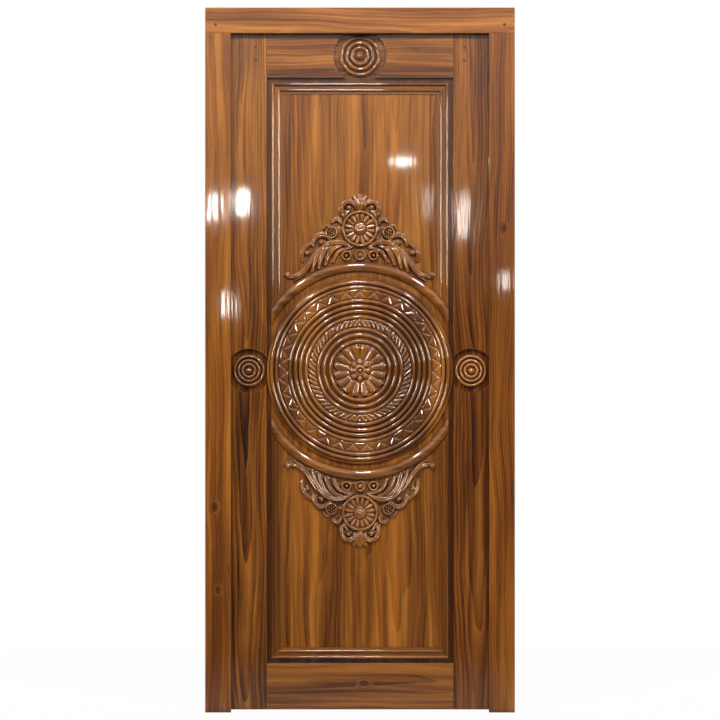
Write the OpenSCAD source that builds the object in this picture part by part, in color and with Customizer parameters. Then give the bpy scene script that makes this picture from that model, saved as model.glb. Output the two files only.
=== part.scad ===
// Carved panel door hung in its frame. Sizes are in millimetres.
// The origin is on the floor, midway between the jambs and in the middle of the frame's depth.
// +X is right, +Z is up, and the carved face looks along -Y. The leaf swings back, along +Y.

/* [Doorway] */
// Clear width between the stops of the two jambs
opening_w = 784; // [740:1:840]
// Clear height from the floor to the stop of the head
opening_h = 2062; // [1980:1:2150]

/* [Frame] */
// Width of a jamb seen from the front
jamb_face = 78; // [68:1:95]
// Height of the head seen from the front
head_face = 78; // [68:1:95]
// Width of the rebate that the leaf closes into
rebate_w = 15; // [13:0.5:18]
// Thickness of the stop in front of the leaf
stop_t = 20; // [16:0.5:26]
// Flat that eases each long arris
arris = 1.5; // [0.5:0.1:2]

/* [Leaf] */
// Thickness of stiles and rails
leaf_t = 40; // [38:0.5:45]
// Gap between the leaf and the frame at both sides and the top
side_gap = 3; // [2.6:0.1:4]
// Gap between the leaf and the floor
floor_gap = 6; // [3:0.5:10]
// Gap between the leaf's face and the stop
stop_gap = 2; // [1:0.1:3]
// Width of a stile
stile_w = 120; // [112:1:126]
// Height of the top rail
top_rail_h = 145; // [140:1:160]
// Height of the bottom rail
bottom_rail_h = 140; // [120:1:200]

/* [Joints in the wood] */
// Thickness of the tenons
tenon_t = 14; // [12:0.5:16]
// Length of the rails' tenons
tenon_l = 100; // [94:1:104]
// Shoulder above and below a rail's tenon
tenon_shoulder = 28; // [24:1:34]
// Length of the jambs' tenons in the head
jamb_tenon_l = 52; // [40:1:56]
// Shoulder at each side of a jamb's tenon
jamb_shoulder = 12; // [8:1:16]
// Radius of the wooden pegs
peg_r = 4.5; // [3.5:0.1:5]
// Distance from the inner edge of a stile to its outer pair of pegs
peg_near = 33; // [28:1:38]
// Distance from the inner edge of a stile to its single peg
peg_far = 84; // [76:1:86]
// Half the height between the pair of pegs
peg_rise = 20; // [16:1:24]
// Glue line around tenons, pegs and set-in pieces
joint_gap = 0.1; // [0.05:0.01:0.2]

/* [Panel] */
// Thickness of the boards
panel_t = 18; // [16:0.5:19]
// Distance from the leaf's face back to the boards
panel_set = 11; // [10:0.1:12]
// Depth of the grooves that hold the boards
panel_groove = 12; // [9:0.5:14]
// Room left for the boards to swell in their grooves
panel_room = 2; // [1:0.1:3]
// Thickness of the tongue between two boards
tongue_t = 6; // [5:0.1:7]
// Length of the tongue between two boards
tongue_l = 6; // [4:0.1:8]

/* [Mouldings] */
// Sunk channel between the leaf's framing and the mouldings
channel_w = 15; // [12:0.5:18]
// Width of the mouldings round the two fields
mould_w = 33; // [30:0.5:36]
// Height of the mouldings' outer bead above the boards
mould_h = 10; // [10:0.1:11]
// Radius of the mouldings' two beads
mould_bead_r = 4.2; // [3.8:0.1:4.4]
// Sunk channel between the medallion and the arched mouldings
arch_channel = 20; // [16:0.5:24]
// Width of the arched mouldings
arch_w = 28; // [26:0.5:30]
// Height of the arched mouldings above the boards
arch_h = 13; // [11:0.5:14]
// Width of the plain mouldings at the back
back_mould_w = 18; // [14:0.5:22]
// Height of the plain mouldings at the back
back_mould_h = 9; // [7:0.1:10]

/* [Medallion] */
// Gap between the medallion and the stiles
medallion_gap = 1; // [0.5:0.1:3]
// Height of the medallion's ground above the boards
ground_h = 7; // [6.6:0.1:8]
// Radius of the medallion's turned beads
bead_r = 6; // [5:0.1:6.4]
// Number of slanting leaves in the medallion's wreath, on each half
wreath_leaves = 30; // [24:1:32]
// Radius of a leaf in the wreath
wreath_r = 4.8; // [4.2:0.1:5.2]
// Slant of the leaves in the wreath, from the radius
wreath_slant = 38; // [30:1:42]
// Number of points in the medallion's zigzag band
zigzags = 34; // [28:1:38]
// Width of the groove that parts the cushions of the zigzag band
zigzag_w = 7; // [5:0.1:8]
// Depth of the groove that parts the cushions of the zigzag band
zigzag_h = 4; // [3:0.1:4.5]
// Number of petals round the middle
petals = 16; // [12:1:18]
// Half the width of a petal at its outer end
petal_r = 11; // [9:0.1:12]

/* [Crests] */
// Room between a crest's tails and the mouldings
crest_margin = 5; // [3:0.5:15]
// Height of a crest's leaves above the boards
crest_h = 13; // [10:0.5:16]
// Number of petals in a crest's rosette
crest_petals = 16; // [12:1:18]

/* [Rosettes] */
// Radius of the rosette in the top rail
top_rosette_r = 64; // [58:1:66]
// Radius of the rosettes in the stiles
side_rosette_r = 50; // [44:1:52]
// Sunk channel round a rosette
rosette_channel = 17; // [14:0.5:18]
// Plain land left between a rosette's channel and the outer edge of the leaf
edge_land = 6; // [4:0.5:8]
// Height of a rosette's body at its rim
rosette_rim_h = 6.2; // [6.1:0.1:7]
// Rise of a rosette's body from one ring to the next
rosette_step = 2; // [1:0.1:3]

/* [Hinges] */
// Height of a hinge
hinge_h = 125; // [100:1:150]
// Depth of a hinge plate along the edge of the leaf
plate_w = 30; // [26:0.5:34]
// Thickness of a hinge plate
plate_t = 2.5; // [2:0.1:3]
// Outer radius of the knuckles
knuckle_r = 6.5; // [6:0.1:7.5]
// Radius of the hinge pin
pin_r = 3.5; // [3:0.1:4]
// Running gap between the pin and the knuckles
pin_gap = 0.05; // [0.03:0.01:0.08]
// Gap between one knuckle and the next, and between knuckles and wood
knuckle_gap = 0.3; // [0.3:0.05:0.6]
// Distance from the top of the leaf to the middle of the top hinge
hinge_drop = 220; // [180:1:260]
// Distance from the foot of the leaf to the middle of the bottom hinge
hinge_rise = 260; // [200:1:320]
// Radius of the hinge screws
screw_r = 2.2; // [1.8:0.1:2.6]
// Radius of the screw heads
screw_head_r = 4.4; // [4:0.1:5]
// Length of the hinge screws
screw_l = 30; // [24:1:36]

/* [Fixings] */
// Distance between the two screw holes of a hold-fast
holdfast_spacing = 60; // [40:1:80]
// Radius of a hold-fast's screw holes
holdfast_r = 3; // [2.5:0.1:4]
// Depth of a hold-fast's screw holes
holdfast_depth = 35; // [25:1:45]
// Height of the lowest hold-fast, and drop of the highest from the head
holdfast_end = 420; // [300:1:500]

/* [Hidden] */
$fn = 64;

// Colours of the finished pieces
frame_wood = [0.62, 0.36, 0.14];
leaf_wood = [0.55, 0.29, 0.10];
carved_wood = [0.50, 0.26, 0.09];
brass = [0.78, 0.60, 0.28];

// How far a cutting body runs past the face it cuts
over = 1;
// Depths, from the front of the frame to its back
frame_depth = stop_t + stop_gap + leaf_t;
front_y = -frame_depth / 2;
back_y = frame_depth / 2;
stop_y = front_y + stop_t;
leaf_y = back_y - leaf_t;
panel_y = leaf_y + panel_set;
mid_y = back_y - leaf_t / 2;
// Widths and heights of frame and leaf
frame_x = opening_w / 2 + jamb_face;
frame_top = opening_h + head_face;
rebate_x = opening_w / 2 + rebate_w;
rebate_top = opening_h + rebate_w;
leaf_x = rebate_x - side_gap;
leaf_top = rebate_top - side_gap;
// Opening inside the leaf's framing, and its middle
field_x = leaf_x - stile_w;
field_low = floor_gap + bottom_rail_h;
field_high = leaf_top - top_rail_h;
field_z = (field_low + field_high) / 2;
field_half_h = (field_high - field_low) / 2;
// Outer edges of the mouldings, and the reach of the two arches
mould_x = field_x - channel_w;
mould_top = field_half_h - channel_w;
medallion_r = field_x - medallion_gap;
arch_sides = 360;
arch_in = medallion_r + arch_channel;
arch_out = arch_in + arch_w;
// Seven boards fill the panel
boards = 7;
panel_x = field_x + panel_groove - panel_room;
panel_low = field_low - panel_groove + panel_room;
panel_high = field_high + panel_groove - panel_room;
board_w = 2 * panel_x / boards;
// Places of the rosettes, in the middle of the wood that shows
rosette_x = (opening_w / 2 + field_x) / 2;
rosette_z = (opening_h + field_high) / 2;
// Hinge line and hinge heights
hinge_x = -(leaf_x + side_gap / 2);
hinge_y = back_y + knuckle_r + knuckle_gap;
hinge_high = leaf_top - hinge_drop;
hinge_low = floor_gap + hinge_rise;
hinge_z = [hinge_high, (hinge_high + hinge_low) / 2, hinge_low];
knuckles = 5;
knuckle_h = hinge_h / knuckles;
// Screws stand in two columns on each plate, at these heights from the hinge's middle
screw_rows = [-0.36 * hinge_h, -0.12 * hinge_h, 0.12 * hinge_h, 0.36 * hinge_h];
screw_y = back_y - plate_w / 2;
screw_offset = plate_w / 5;
holdfast_z = [holdfast_end, opening_h / 2, opening_h - holdfast_end];

// A box between two corners
module box(low, high) {
    translate(low)
        cube(high - low);
}

// Turns a flat drawing in X and Z into a body that stands out from the boards towards the viewer
module on_boards(z = field_z) {
    translate([0, panel_y, z])
        rotate([90, 0, 0])
            children();
}

// A bar along Z with eased long arrises, from one corner of its plan to the other
module upright(low, high, from, to) {
    e = arris;
    translate([0, 0, from])
        linear_extrude(height = to - from)
            polygon([
                [low.x + e, low.y], [high.x - e, low.y], [high.x, low.y + e], [high.x, high.y - e],
                [high.x - e, high.y], [low.x + e, high.y], [low.x, high.y - e], [low.x, low.y + e]
            ]);
}

// A bar along X with eased long arrises, from one corner of its end to the other
module crossbar(low, high, from, to) {
    translate([from, 0, 0])
        rotate([90, 0, 90])
            upright(low, high, 0, to - from);
}

// A round hole or peg along Y
module along_y(x, z, r, from, to) {
    translate([x, from, z])
        rotate([-90, 0, 0])
            cylinder(r = r, h = to - from);
}

// A round hole along X
module along_x(y, z, r, from, to) {
    translate([from, y, z])
        rotate([0, 90, 0])
            cylinder(r = r, h = to - from);
}

// Frame

// One jamb with its stop and rebate, its tenon for the head and the holes of its hold-fasts
module jamb() {
    e = arris;
    difference() {
        union() {
            linear_extrude(height = opening_h)
                polygon([
                    [-frame_x + e, front_y], [-opening_w / 2 - e, front_y], [-opening_w / 2, front_y + e],
                    [-opening_w / 2, stop_y - e], [-opening_w / 2 - e, stop_y], [-rebate_x, stop_y],
                    [-rebate_x, back_y - e], [-rebate_x - e, back_y], [-frame_x + e, back_y],
                    [-frame_x, back_y - e], [-frame_x, front_y + e]
                ]);
            jamb_tenon(0);
        }
        for (z = holdfast_z)
            for (side = [-1, 1])
                along_x(0, z + side * holdfast_spacing / 2, holdfast_r,
                    -frame_x - over, -frame_x + holdfast_depth);
        frame_peg_holes();
    }
}

// The tenon on top of a jamb, or with a gap the mortise for it
module jamb_tenon(gap) {
    box([-frame_x + jamb_shoulder - gap, -tenon_t / 2 - gap, opening_h - over],
        [-rebate_x - jamb_shoulder / 2 + gap, tenon_t / 2 + gap, opening_h + jamb_tenon_l + gap]);
}

// Pegs that lock the head on the tenons, or the holes for them
module frame_peg(r, from, to) {
    along_y(-(frame_x + rebate_x) / 2, opening_h + jamb_tenon_l / 2, r, from, to);
}

module frame_peg_holes() {
    frame_peg(peg_r + joint_gap, front_y - over, back_y + over);
}

module left_jamb() {
    color(frame_wood)
        difference() {
            jamb();
            for (z = hinge_z)
                frame_gain(z);
            frame_screw_bodies(joint_gap);
        }
}

module right_jamb() {
    color(frame_wood)
        mirror([1, 0, 0])
            jamb();
}

module frame_head() {
    color(frame_wood)
        difference() {
            crossbar([front_y, opening_h], [back_y, frame_top], -frame_x, frame_x);
            box([-rebate_x, stop_y, opening_h - over], [rebate_x, back_y + over, rebate_top]);
            for (side = [0, 1])
                mirror([side, 0, 0]) {
                    jamb_tenon(joint_gap);
                    frame_peg_holes();
                }
        }
}

module frame_pegs() {
    color(leaf_wood)
        for (side = [0, 1])
            mirror([side, 0, 0])
                frame_peg(peg_r, front_y, back_y);
}

// Leaf framing

// A stile with its panel groove, its mortises and the sunk round for its rosette
module stile() {
    difference() {
        upright([-leaf_x, leaf_y], [-field_x, back_y], floor_gap, leaf_top);
        box([-field_x - panel_groove, panel_y, field_low - panel_groove],
            [-field_x + over, panel_y + panel_t, field_high + panel_groove]);
        rail_tenon(floor_gap, bottom_rail_h, joint_gap);
        rail_tenon(field_high, top_rail_h, joint_gap);
        intersection() {
            translate([-rosette_x, panel_y, field_z])
                rotate([90, 0, 0])
                    cylinder(r = side_rosette_r + rosette_channel, h = panel_set + over);
            box([-leaf_x + edge_land, leaf_y - over, floor_gap], [-field_x + over, panel_y + over, leaf_top]);
        }
        leaf_peg_holes();
    }
}

// The left tenon of a rail, or with a gap the mortise for it
module rail_tenon(low, height, gap) {
    box([-field_x - tenon_l - gap, mid_y - tenon_t / 2 - gap, low + tenon_shoulder - gap],
        [-field_x + over, mid_y + tenon_t / 2 + gap, low + height - tenon_shoulder + gap]);
}

// Pegs at the left end of a rail whose middle is at z
module rail_pegs(z, r, from, to) {
    for (side = [-1, 1])
        along_y(-field_x - peg_near, z + side * peg_rise, r, from, to);
    along_y(-field_x - peg_far, z, r, from, to);
}

// The pegs of the top rail show on both faces, those of the bottom rail only at the back
module left_leaf_pegs(gap, past) {
    rail_pegs(field_high + top_rail_h / 2, peg_r + gap, leaf_y - past, back_y + past);
    rail_pegs(floor_gap + bottom_rail_h / 2, peg_r + gap, mid_y - tenon_t, back_y + past);
}

module leaf_peg_holes() {
    left_leaf_pegs(joint_gap, over);
}

module left_stile() {
    color(leaf_wood)
        difference() {
            stile();
            for (z = hinge_z)
                leaf_gain(z);
            leaf_screw_bodies(joint_gap);
        }
}

module right_stile() {
    color(leaf_wood)
        mirror([1, 0, 0])
            stile();
}

// A rail with its two tenons, before its panel groove is cut
module rail(low, height) {
    difference() {
        union() {
            crossbar([leaf_y, low], [back_y, low + height], -field_x, field_x);
            for (side = [0, 1])
                mirror([side, 0, 0])
                    rail_tenon(low, height, 0);
        }
        for (side = [0, 1])
            mirror([side, 0, 0])
                leaf_peg_holes();
    }
}

module top_rail() {
    color(leaf_wood)
        difference() {
            rail(field_high, top_rail_h);
            box([-field_x - over, panel_y, field_high - over],
                [field_x + over, panel_y + panel_t, field_high + panel_groove]);
            intersection() {
                translate([0, panel_y, rosette_z])
                    rotate([90, 0, 0])
                        cylinder(r = top_rosette_r + rosette_channel, h = panel_set + over);
                box([-field_x, leaf_y - over, field_high - over],
                    [field_x, panel_y + over, leaf_top - edge_land]);
            }
        }
}

module bottom_rail() {
    color(leaf_wood)
        difference() {
            rail(floor_gap, bottom_rail_h);
            box([-field_x - over, panel_y, field_low - panel_groove],
                [field_x + over, panel_y + panel_t, field_low + over]);
        }
}

module leaf_pegs() {
    color(carved_wood)
        for (side = [0, 1])
            mirror([side, 0, 0])
                left_leaf_pegs(0, 0);
}

// Boards of the panel, each with a groove on its left edge and a tongue on its right
module board(number) {
    left = -panel_x + (number - 1) * board_w;
    right = left + board_w;
    tongue_y = panel_y + panel_t / 2;
    first = number == 1;
    last = number == boards;
    color(leaf_wood)
        difference() {
            union() {
                box([left + (first ? 0 : joint_gap), panel_y, panel_low],
                    [right, panel_y + panel_t, panel_high]);
                if (!last)
                    box([right - over, tongue_y - tongue_t / 2, panel_low],
                        [right + tongue_l, tongue_y + tongue_t / 2, panel_high]);
            }
            if (!first)
                box([left - over, tongue_y - tongue_t / 2 - joint_gap, panel_low - over],
                    [left + tongue_l + joint_gap, tongue_y + tongue_t / 2 + joint_gap, panel_high + over]);
        }
}

// Mouldings round the two fields

// Section of the straight mouldings: two beads with a hollow between, and a small step to the field
module mould_section() {
    r = mould_bead_r;
    step_h = mould_h / 3;
    square([mould_w, step_h]);
    square([2 * r, mould_h - r]);
    translate([r, mould_h - r])
        circle(r = r);
    translate([mould_w - 2 * step_h - 2 * r, 0])
        square([2 * r, mould_h - r - over]);
    translate([mould_w - 2 * step_h - r, mould_h - r - over])
        circle(r = r);
}

// A straight moulding along the local Y axis, from low to high, with its outer edge on the left
module mould_bar(low, high) {
    translate([-mould_x, high, 0])
        rotate([90, 0, 0])
            linear_extrude(height = high - low)
                mould_section();
}

// The left moulding of the upper field, mitred at the top and scribed to the arch at its foot
module field_side() {
    past = mould_w + over;
    difference() {
        intersection() {
            mould_bar(0, mould_top + over);
            linear_extrude(height = mould_h + over)
                polygon([
                    [-mould_x - over, 0], [-mould_x + past, 0], [-mould_x + past, mould_top - past],
                    [-mould_x - over, mould_top + over]
                ]);
        }
        translate([0, 0, -over])
            cylinder(r = arch_out, h = mould_h + 2 * over);
    }
}

// The straight moulding across the far end of the upper field, mitred at both ends
module field_end() {
    past = mould_w + over;
    intersection() {
        translate([-mould_x - over, mould_top - mould_x, 0])
            rotate([0, 0, -90])
                mould_bar(0, 2 * (mould_x + over));
        linear_extrude(height = mould_h + over)
            polygon([
                [-mould_x - over, mould_top + over], [-mould_x + past, mould_top - past],
                [mould_x - past, mould_top - past], [mould_x + over, mould_top + over]
            ]);
    }
}

// The arched moulding of the upper field: one broad round over two upright sides
module field_arch() {
    side_h = arch_h / 3;
    rise = arch_h - side_h;
    round_r = (arch_w * arch_w / 4 + rise * rise) / (2 * rise);
    intersection() {
        rotate_extrude($fn = arch_sides)
            translate([arch_in, 0])
                intersection() {
                    translate([arch_w / 2, arch_h - round_r])
                        circle(r = round_r);
                    square([arch_w, arch_h + over]);
                }
        box([-mould_x, 0, -over], [mould_x, arch_out + over, arch_h + over]);
    }
}

module upper_left_moulding() {
    color(leaf_wood)
        on_boards()
            field_side();
}

module upper_right_moulding() {
    color(leaf_wood)
        mirror([1, 0, 0])
            on_boards()
                field_side();
}

module top_moulding() {
    color(leaf_wood)
        on_boards()
            field_end();
}

module upper_arch() {
    color(leaf_wood)
        on_boards()
            field_arch();
}

module lower_left_moulding() {
    color(leaf_wood)
        on_boards()
            mirror([0, 1, 0])
                field_side();
}

module lower_right_moulding() {
    color(leaf_wood)
        mirror([1, 0, 0])
            on_boards()
                mirror([0, 1, 0])
                    field_side();
}

module bottom_moulding() {
    color(leaf_wood)
        on_boards()
            mirror([0, 1, 0])
                field_end();
}

module lower_arch() {
    color(leaf_wood)
        on_boards()
            mirror([0, 1, 0])
                field_arch();
}

// Plain mouldings at the back, in the corner between the boards and the framing

// Turns a flat drawing in X and Z into a body that stands out from the back of the boards
module on_back() {
    translate([0, panel_y + panel_t, field_z])
        mirror([0, 1, 0])
            rotate([90, 0, 0])
                children();
}

module back_section() {
    flat = back_mould_h / 3;
    polygon([
        [0, 0], [back_mould_w, 0], [back_mould_w, flat],
        [back_mould_w - 2 * flat, back_mould_h], [0, back_mould_h]
    ]);
}

// A plain moulding on the left of an opening of the given half width and half height, mitred at both ends
module back_bar(half_w, half_h) {
    past = back_mould_w + over;
    intersection() {
        translate([-half_w, half_h + over, 0])
            rotate([90, 0, 0])
                linear_extrude(height = 2 * (half_h + over))
                    back_section();
        linear_extrude(height = back_mould_h + over)
            polygon([
                [-half_w - over, -half_h - over], [-half_w + past, -half_h + past],
                [-half_w + past, half_h - past], [-half_w - over, half_h + over]
            ]);
    }
}

module back_left_moulding() {
    color(leaf_wood)
        on_back()
            back_bar(field_x - joint_gap, field_half_h - joint_gap);
}

module back_right_moulding() {
    color(leaf_wood)
        on_back()
            rotate([0, 0, 180])
                back_bar(field_x - joint_gap, field_half_h - joint_gap);
}

module back_top_moulding() {
    color(leaf_wood)
        on_back()
            rotate([0, 0, -90])
                back_bar(field_half_h - joint_gap, field_x - joint_gap);
}

module back_bottom_moulding() {
    color(leaf_wood)
        on_back()
            rotate([0, 0, 90])
                back_bar(field_half_h - joint_gap, field_x - joint_gap);
}

// Medallion

// Radii of the medallion's features, as shares of its own radius
inner_beads = [0.318, 0.385, 0.449];
middle_beads = [0.578, 0.640, 0.693, 0.753];
outer_beads = [0.898, 0.951];
petal_from = 0.145;
petal_to = 0.235;
lobe_at = 0.085;
lobe_size = 0.032;
eye_at = 0.042;
eye_size = 0.012;
button_size = 0.023;
heart_size = 0.062;

// The turned body: a ground with raised beads and a rim that falls away to the edge
module medallion_turning() {
    rim = outer_beads[1] * medallion_r;
    heart_h = ground_h + bead_r - over;
    rotate_extrude() {
        square([rim, ground_h]);
        polygon([
            [0, 0], [medallion_r, 0], [medallion_r, ground_h / 2],
            [rim, ground_h + bead_r / 2], [0, ground_h]
        ]);
        for (share = concat(inner_beads, middle_beads, outer_beads))
            translate([share * medallion_r, ground_h])
                circle(r = bead_r);
        translate([zigzag_radii[0] - bead_r, 0])
            square([zigzag_radii[1] - zigzag_radii[0] + 2 * bead_r, zigzag_top]);
        square([heart_size * medallion_r, heart_h]);
        translate([eye_at * medallion_r, heart_h])
            circle(r = eye_size * medallion_r);
    }
}

// The wreath: slanting leaves between two beads, mirrored about the upright middle line
module wreath() {
    inner = inner_beads[2] * medallion_r + bead_r;
    outer = middle_beads[0] * medallion_r - bead_r;
    leaf_l = (outer - inner) / cos(wreath_slant) - 2 * wreath_r * tan(wreath_slant) - joint_gap;
    step = 180 / wreath_leaves;
    for (side = [0, 1])
        mirror([side, 0, 0])
            for (i = [0 : wreath_leaves - 1])
                rotate([0, 0, 90 - (i + 0.5) * step])
                    translate([(inner + outer) / 2, 0, ground_h - over])
                        rotate([0, 0, wreath_slant])
                            rotate([0, 90, 0])
                                cylinder(r = wreath_r, h = leaf_l, center = true);
}

// The zigzag band lies between these two radii, clear of the beads beside it
zigzag_radii = [middle_beads[3] * medallion_r + bead_r, outer_beads[0] * medallion_r - bead_r];
zigzag_top = ground_h + zigzag_h;

// The groove that runs to and fro in the zigzag band and parts its cushions
module zigzag_groove() {
    step = 180 / zigzags;
    clear = zigzag_w / 2;
    ends = [zigzag_radii[0] + clear, zigzag_radii[1] - clear];
    for (k = [0 : 2 * zigzags - 1]) {
        from = ends[k % 2] * [cos(k * step), sin(k * step)];
        to = ends[(k + 1) % 2] * [cos((k + 1) * step), sin((k + 1) * step)];
        run = to - from;
        translate([from.x, from.y, zigzag_top])
            rotate([0, 0, atan2(run.y, run.x)])
                rotate([90, 0, 90])
                    linear_extrude(height = norm(run))
                        polygon([[0, -zigzag_h], [zigzag_w / 2, over], [-zigzag_w / 2, over]]);
    }
}

// The flower in the middle: a ring of tapered petals, a ring of lobes and a button
module flower() {
    from = petal_from * medallion_r;
    to = petal_to * medallion_r;
    swell = 1.06;
    for (i = [0 : petals - 1])
        rotate([0, 0, (i + 0.5) * 360 / petals])
            above_ground()
                translate([from, 0, ground_h - petal_r / 2])
                    rotate([0, 90, 0]) {
                        cylinder(r1 = petal_r * from / to, r2 = petal_r, h = to - from);
                        translate([0, 0, to - from])
                            sphere(r = petal_r * swell);
                    }
    for (i = [0 : petals / 2 - 1])
        rotate([0, 0, i * 720 / petals])
            above_ground()
                translate([lobe_at * medallion_r, 0, ground_h])
                    sphere(r = lobe_size * medallion_r);
    translate([0, 0, ground_h + bead_r])
        sphere(r = button_size * medallion_r);
}

// Keeps what rises from the medallion's ground, down to just under it
module above_ground() {
    intersection() {
        children();
        translate([0, -medallion_r, ground_h - over])
            cube([medallion_r, 2 * medallion_r, medallion_r]);
    }
}

module medallion() {
    color(carved_wood)
        on_boards() {
            difference() {
                rotate([0, 0, 90 / zigzags])
                    medallion_turning();
                zigzag_groove();
            }
            wreath();
            flower();
        }
}

// Crests: one carved relief over the upper arch and its mirror image under the lower one

// The drawing of a crest was made for this distance from the middle line to the tip of a tail
crest_drawn = 231;
crest_half = mould_x - mould_w - crest_margin;
crest_scale = crest_half / crest_drawn;
// A leaf's section, as shares of its half width and height
leaf_section = [[-1, 0], [-0.65, 0.75], [0, 1], [0.65, 0.75], [1, 0]];
leaf_steps = 4;
// Leaves of the right half. Each has four points of its curve, from the top of the arch,
// then its half width where it starts and where it ends, and its height as a share
crest_leaves = [
    [[24, 178], [46, 194], [64, 168], [53, 143], 8, 9, 1.0],
    [[13, 164], [16, 178], [22, 186], [32, 187], 6, 9, 1.0],
    [[5, 157], [6, 175], [9, 190], [17, 198], 6, 9, 1.05],
    [[34, 155], [40, 152], [45, 145], [48, 136], 6, 7, 0.8],
    [[58, 118], [62, 133], [76, 135], [84, 122], 8, 8, 0.95],
    [[92, 106], [98, 115], [107, 111], [109, 101], 6, 6, 0.8],
    [[88, 64], [104, 92], [140, 90], [143, 52], 9, 9.5, 1.0],
    [[143, 60], [160, 54], [182, 36], [176, 4], 8, 8.5, 0.9],
    [[26, 46], [50, 64], [88, 66], [112, 46], 8, 11, 1.1],
    [[104, 52], [124, 38], [138, 4], [146, -28], 11, 8, 0.95],
    [[52, 38], [66, 37], [77, 20], [81, 0], 6.5, 7.5, 0.85],
    [[60, 50], [84, 46], [98, 22], [105, -6], 9.5, 9.5, 1.0],
    [[80, 55], [106, 44], [119, 18], [126, -17], 10, 9.5, 0.95],
    [[126, 36], [154, 10], [158, -42], [214, -46], 10, 9, 1.0],
    [[136, 24], [150, -6], [168, -42], [200, -56], 8, 5, 0.7],
    [[26, 46], [34, 40], [48, 43], [58, 32], 6, 6, 0.85],
];
crest_top_leaf = [[0, 155], [0, 170], [0, 190], [0, 197], 8, 15, 1.15];
// Small round knobs of the right half, each with its middle and radius
crest_knobs = [[41, 20, 7], [118, 60, 8.5], [161, 28, 9], [220, -41, 10], [35, 166, 8.5]];
// Two volutes beside a boss, where the crest stands on its arch
volute_at = [41, 20];
volute_r = 12.5;
volute_bead = 4.2;
boss_at = [0, 21];
boss_r = 14;
boss_bead = 3.6;
boss_eye = 9;
// The roundel with its petals and bud
roundel_at = [0, 102];
roundel_r = 51;
roundel_bead = 5.6;
roundel_petals = [24, 38];
roundel_petal_r = 7.6;
bud_r = 19;
// A small flower in a ring, on each side of the roundel
flower_at = [87, 90];
flower_r = 16;
flower_bead = 3.8;
flower_petals = 6;
flower_petal_r = 4.6;
flower_eye = 4.5;
// Heights in a crest, as shares of the height of its leaves
floor_share = 0.35;
rim_share = 0.85;
petal_share = 0.85;
roundel_share = 1.1;

function curve(p, t) =
    pow(1 - t, 3) * p[0] + 3 * t * pow(1 - t, 2) * p[1] + 3 * t * t * (1 - t) * p[2] + pow(t, 3) * p[3];
function heading(p, t) =
    pow(1 - t, 2) * (p[1] - p[0]) + 2 * t * (1 - t) * (p[2] - p[1]) + t * t * (p[3] - p[2]);
// A leaf's ends are this share of its full width and height
leaf_end = 0.7;
function swelling(t) = leaf_end + (1 - leaf_end) * sin(180 * t);

// One leaf: its section carried along its curve, swelling in the middle
module crest_leaf(p) {
    m = len(leaf_section);
    n = leaf_steps;
    points = [
        for (i = [0 : n])
            let (
                t = i / n,
                c = curve(p, t),
                d = heading(p, t),
                across = [-d.y, d.x] / norm(d) * (p[4] + (p[5] - p[4]) * t) * swelling(t)
            )
            for (s = leaf_section)
                [c.x + across.x * s.x, c.y + across.y * s.x, crest_h * p[6] * swelling(t) * s.y]
    ];
    sides = [
        for (i = [0 : n - 1])
            for (j = [0 : m - 1])
                [i * m + j, i * m + (j + 1) % m, (i + 1) * m + (j + 1) % m, (i + 1) * m + j]
    ];
    foot = [for (j = [m - 1 : -1 : 0]) j];
    tip = [for (j = [0 : m - 1]) n * m + j];
    polyhedron(points, concat(sides, [foot, tip]));
}

// Knobs and rings narrow to this share at their tops
knob_taper = 0.6;
knob_sides = 9;
ring_sides = 20;
petal_sides = 6;

// A low round with a flat top
module knob(at, r, h) {
    translate([at.x, at.y, 0])
        cylinder(r1 = r, r2 = knob_taper * r, h = h, $fn = knob_sides);
}

// A raised ring
module ring(at, r, bead, h) {
    translate([at.x, at.y, 0])
        rotate_extrude($fn = ring_sides)
            polygon([
                [r - bead, 0], [r + bead, 0], [r + knob_taper * bead, h], [r - knob_taper * bead, h]
            ]);
}

// Petals round a middle, each the hull of a small and a larger low round
module petal_ring(at, reach, r, count, h) {
    for (i = [0 : count - 1])
        translate([at.x, at.y, 0])
            rotate([0, 0, (i + 0.5) * 360 / count])
                hull() {
                    translate([reach[0], 0, 0])
                        cylinder(r1 = r / 2, r2 = r / 4, h = h, $fn = petal_sides);
                    translate([reach[1], 0, 0])
                        cylinder(r1 = r, r2 = r / 2, h = h, $fn = petal_sides);
                }
}

// The right half of a crest, with the height of the relief in Z
module crest_half_relief() {
    for (p = crest_leaves)
        crest_leaf(p);
    for (k = crest_knobs)
        knob([k[0], k[1]], k[2], crest_h);
    ring(volute_at, volute_r, volute_bead, rim_share * crest_h);
    knob(flower_at, flower_r, floor_share * crest_h);
    ring(flower_at, flower_r, flower_bead, rim_share * crest_h);
    petal_ring(flower_at, [flower_eye, flower_r / 2], flower_petal_r, flower_petals, petal_share * crest_h);
    knob(flower_at, flower_eye, crest_h);
}

module crest_relief() {
    crest_half_relief();
    mirror([1, 0, 0])
        crest_half_relief();
    crest_leaf(crest_top_leaf);
    knob(boss_at, boss_r, floor_share * crest_h);
    ring(boss_at, boss_r, boss_bead, rim_share * crest_h);
    knob(boss_at, boss_eye, crest_h);
    knob(roundel_at, roundel_r, floor_share * crest_h);
    ring(roundel_at, roundel_r, roundel_bead, roundel_share * crest_h);
    petal_ring(roundel_at, roundel_petals, roundel_petal_r, crest_petals, petal_share * crest_h);
    knob(roundel_at, bud_r, roundel_share * crest_h);
    translate([-volute_at.x, boss_at.y - boss_r, 0])
        cube([2 * volute_at.x, roundel_at.y - roundel_r - boss_at.y + boss_r, floor_share * crest_h]);
}

// A crest on its arch, pared to the arch's outer edge
module crest() {
    difference() {
        translate([0, arch_out, 0])
            scale([crest_scale, crest_scale, 1])
                crest_relief();
        translate([0, 0, -over])
            cylinder(r = arch_out + joint_gap, h = 4 * crest_h, $fn = arch_sides);
    }
}

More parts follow.
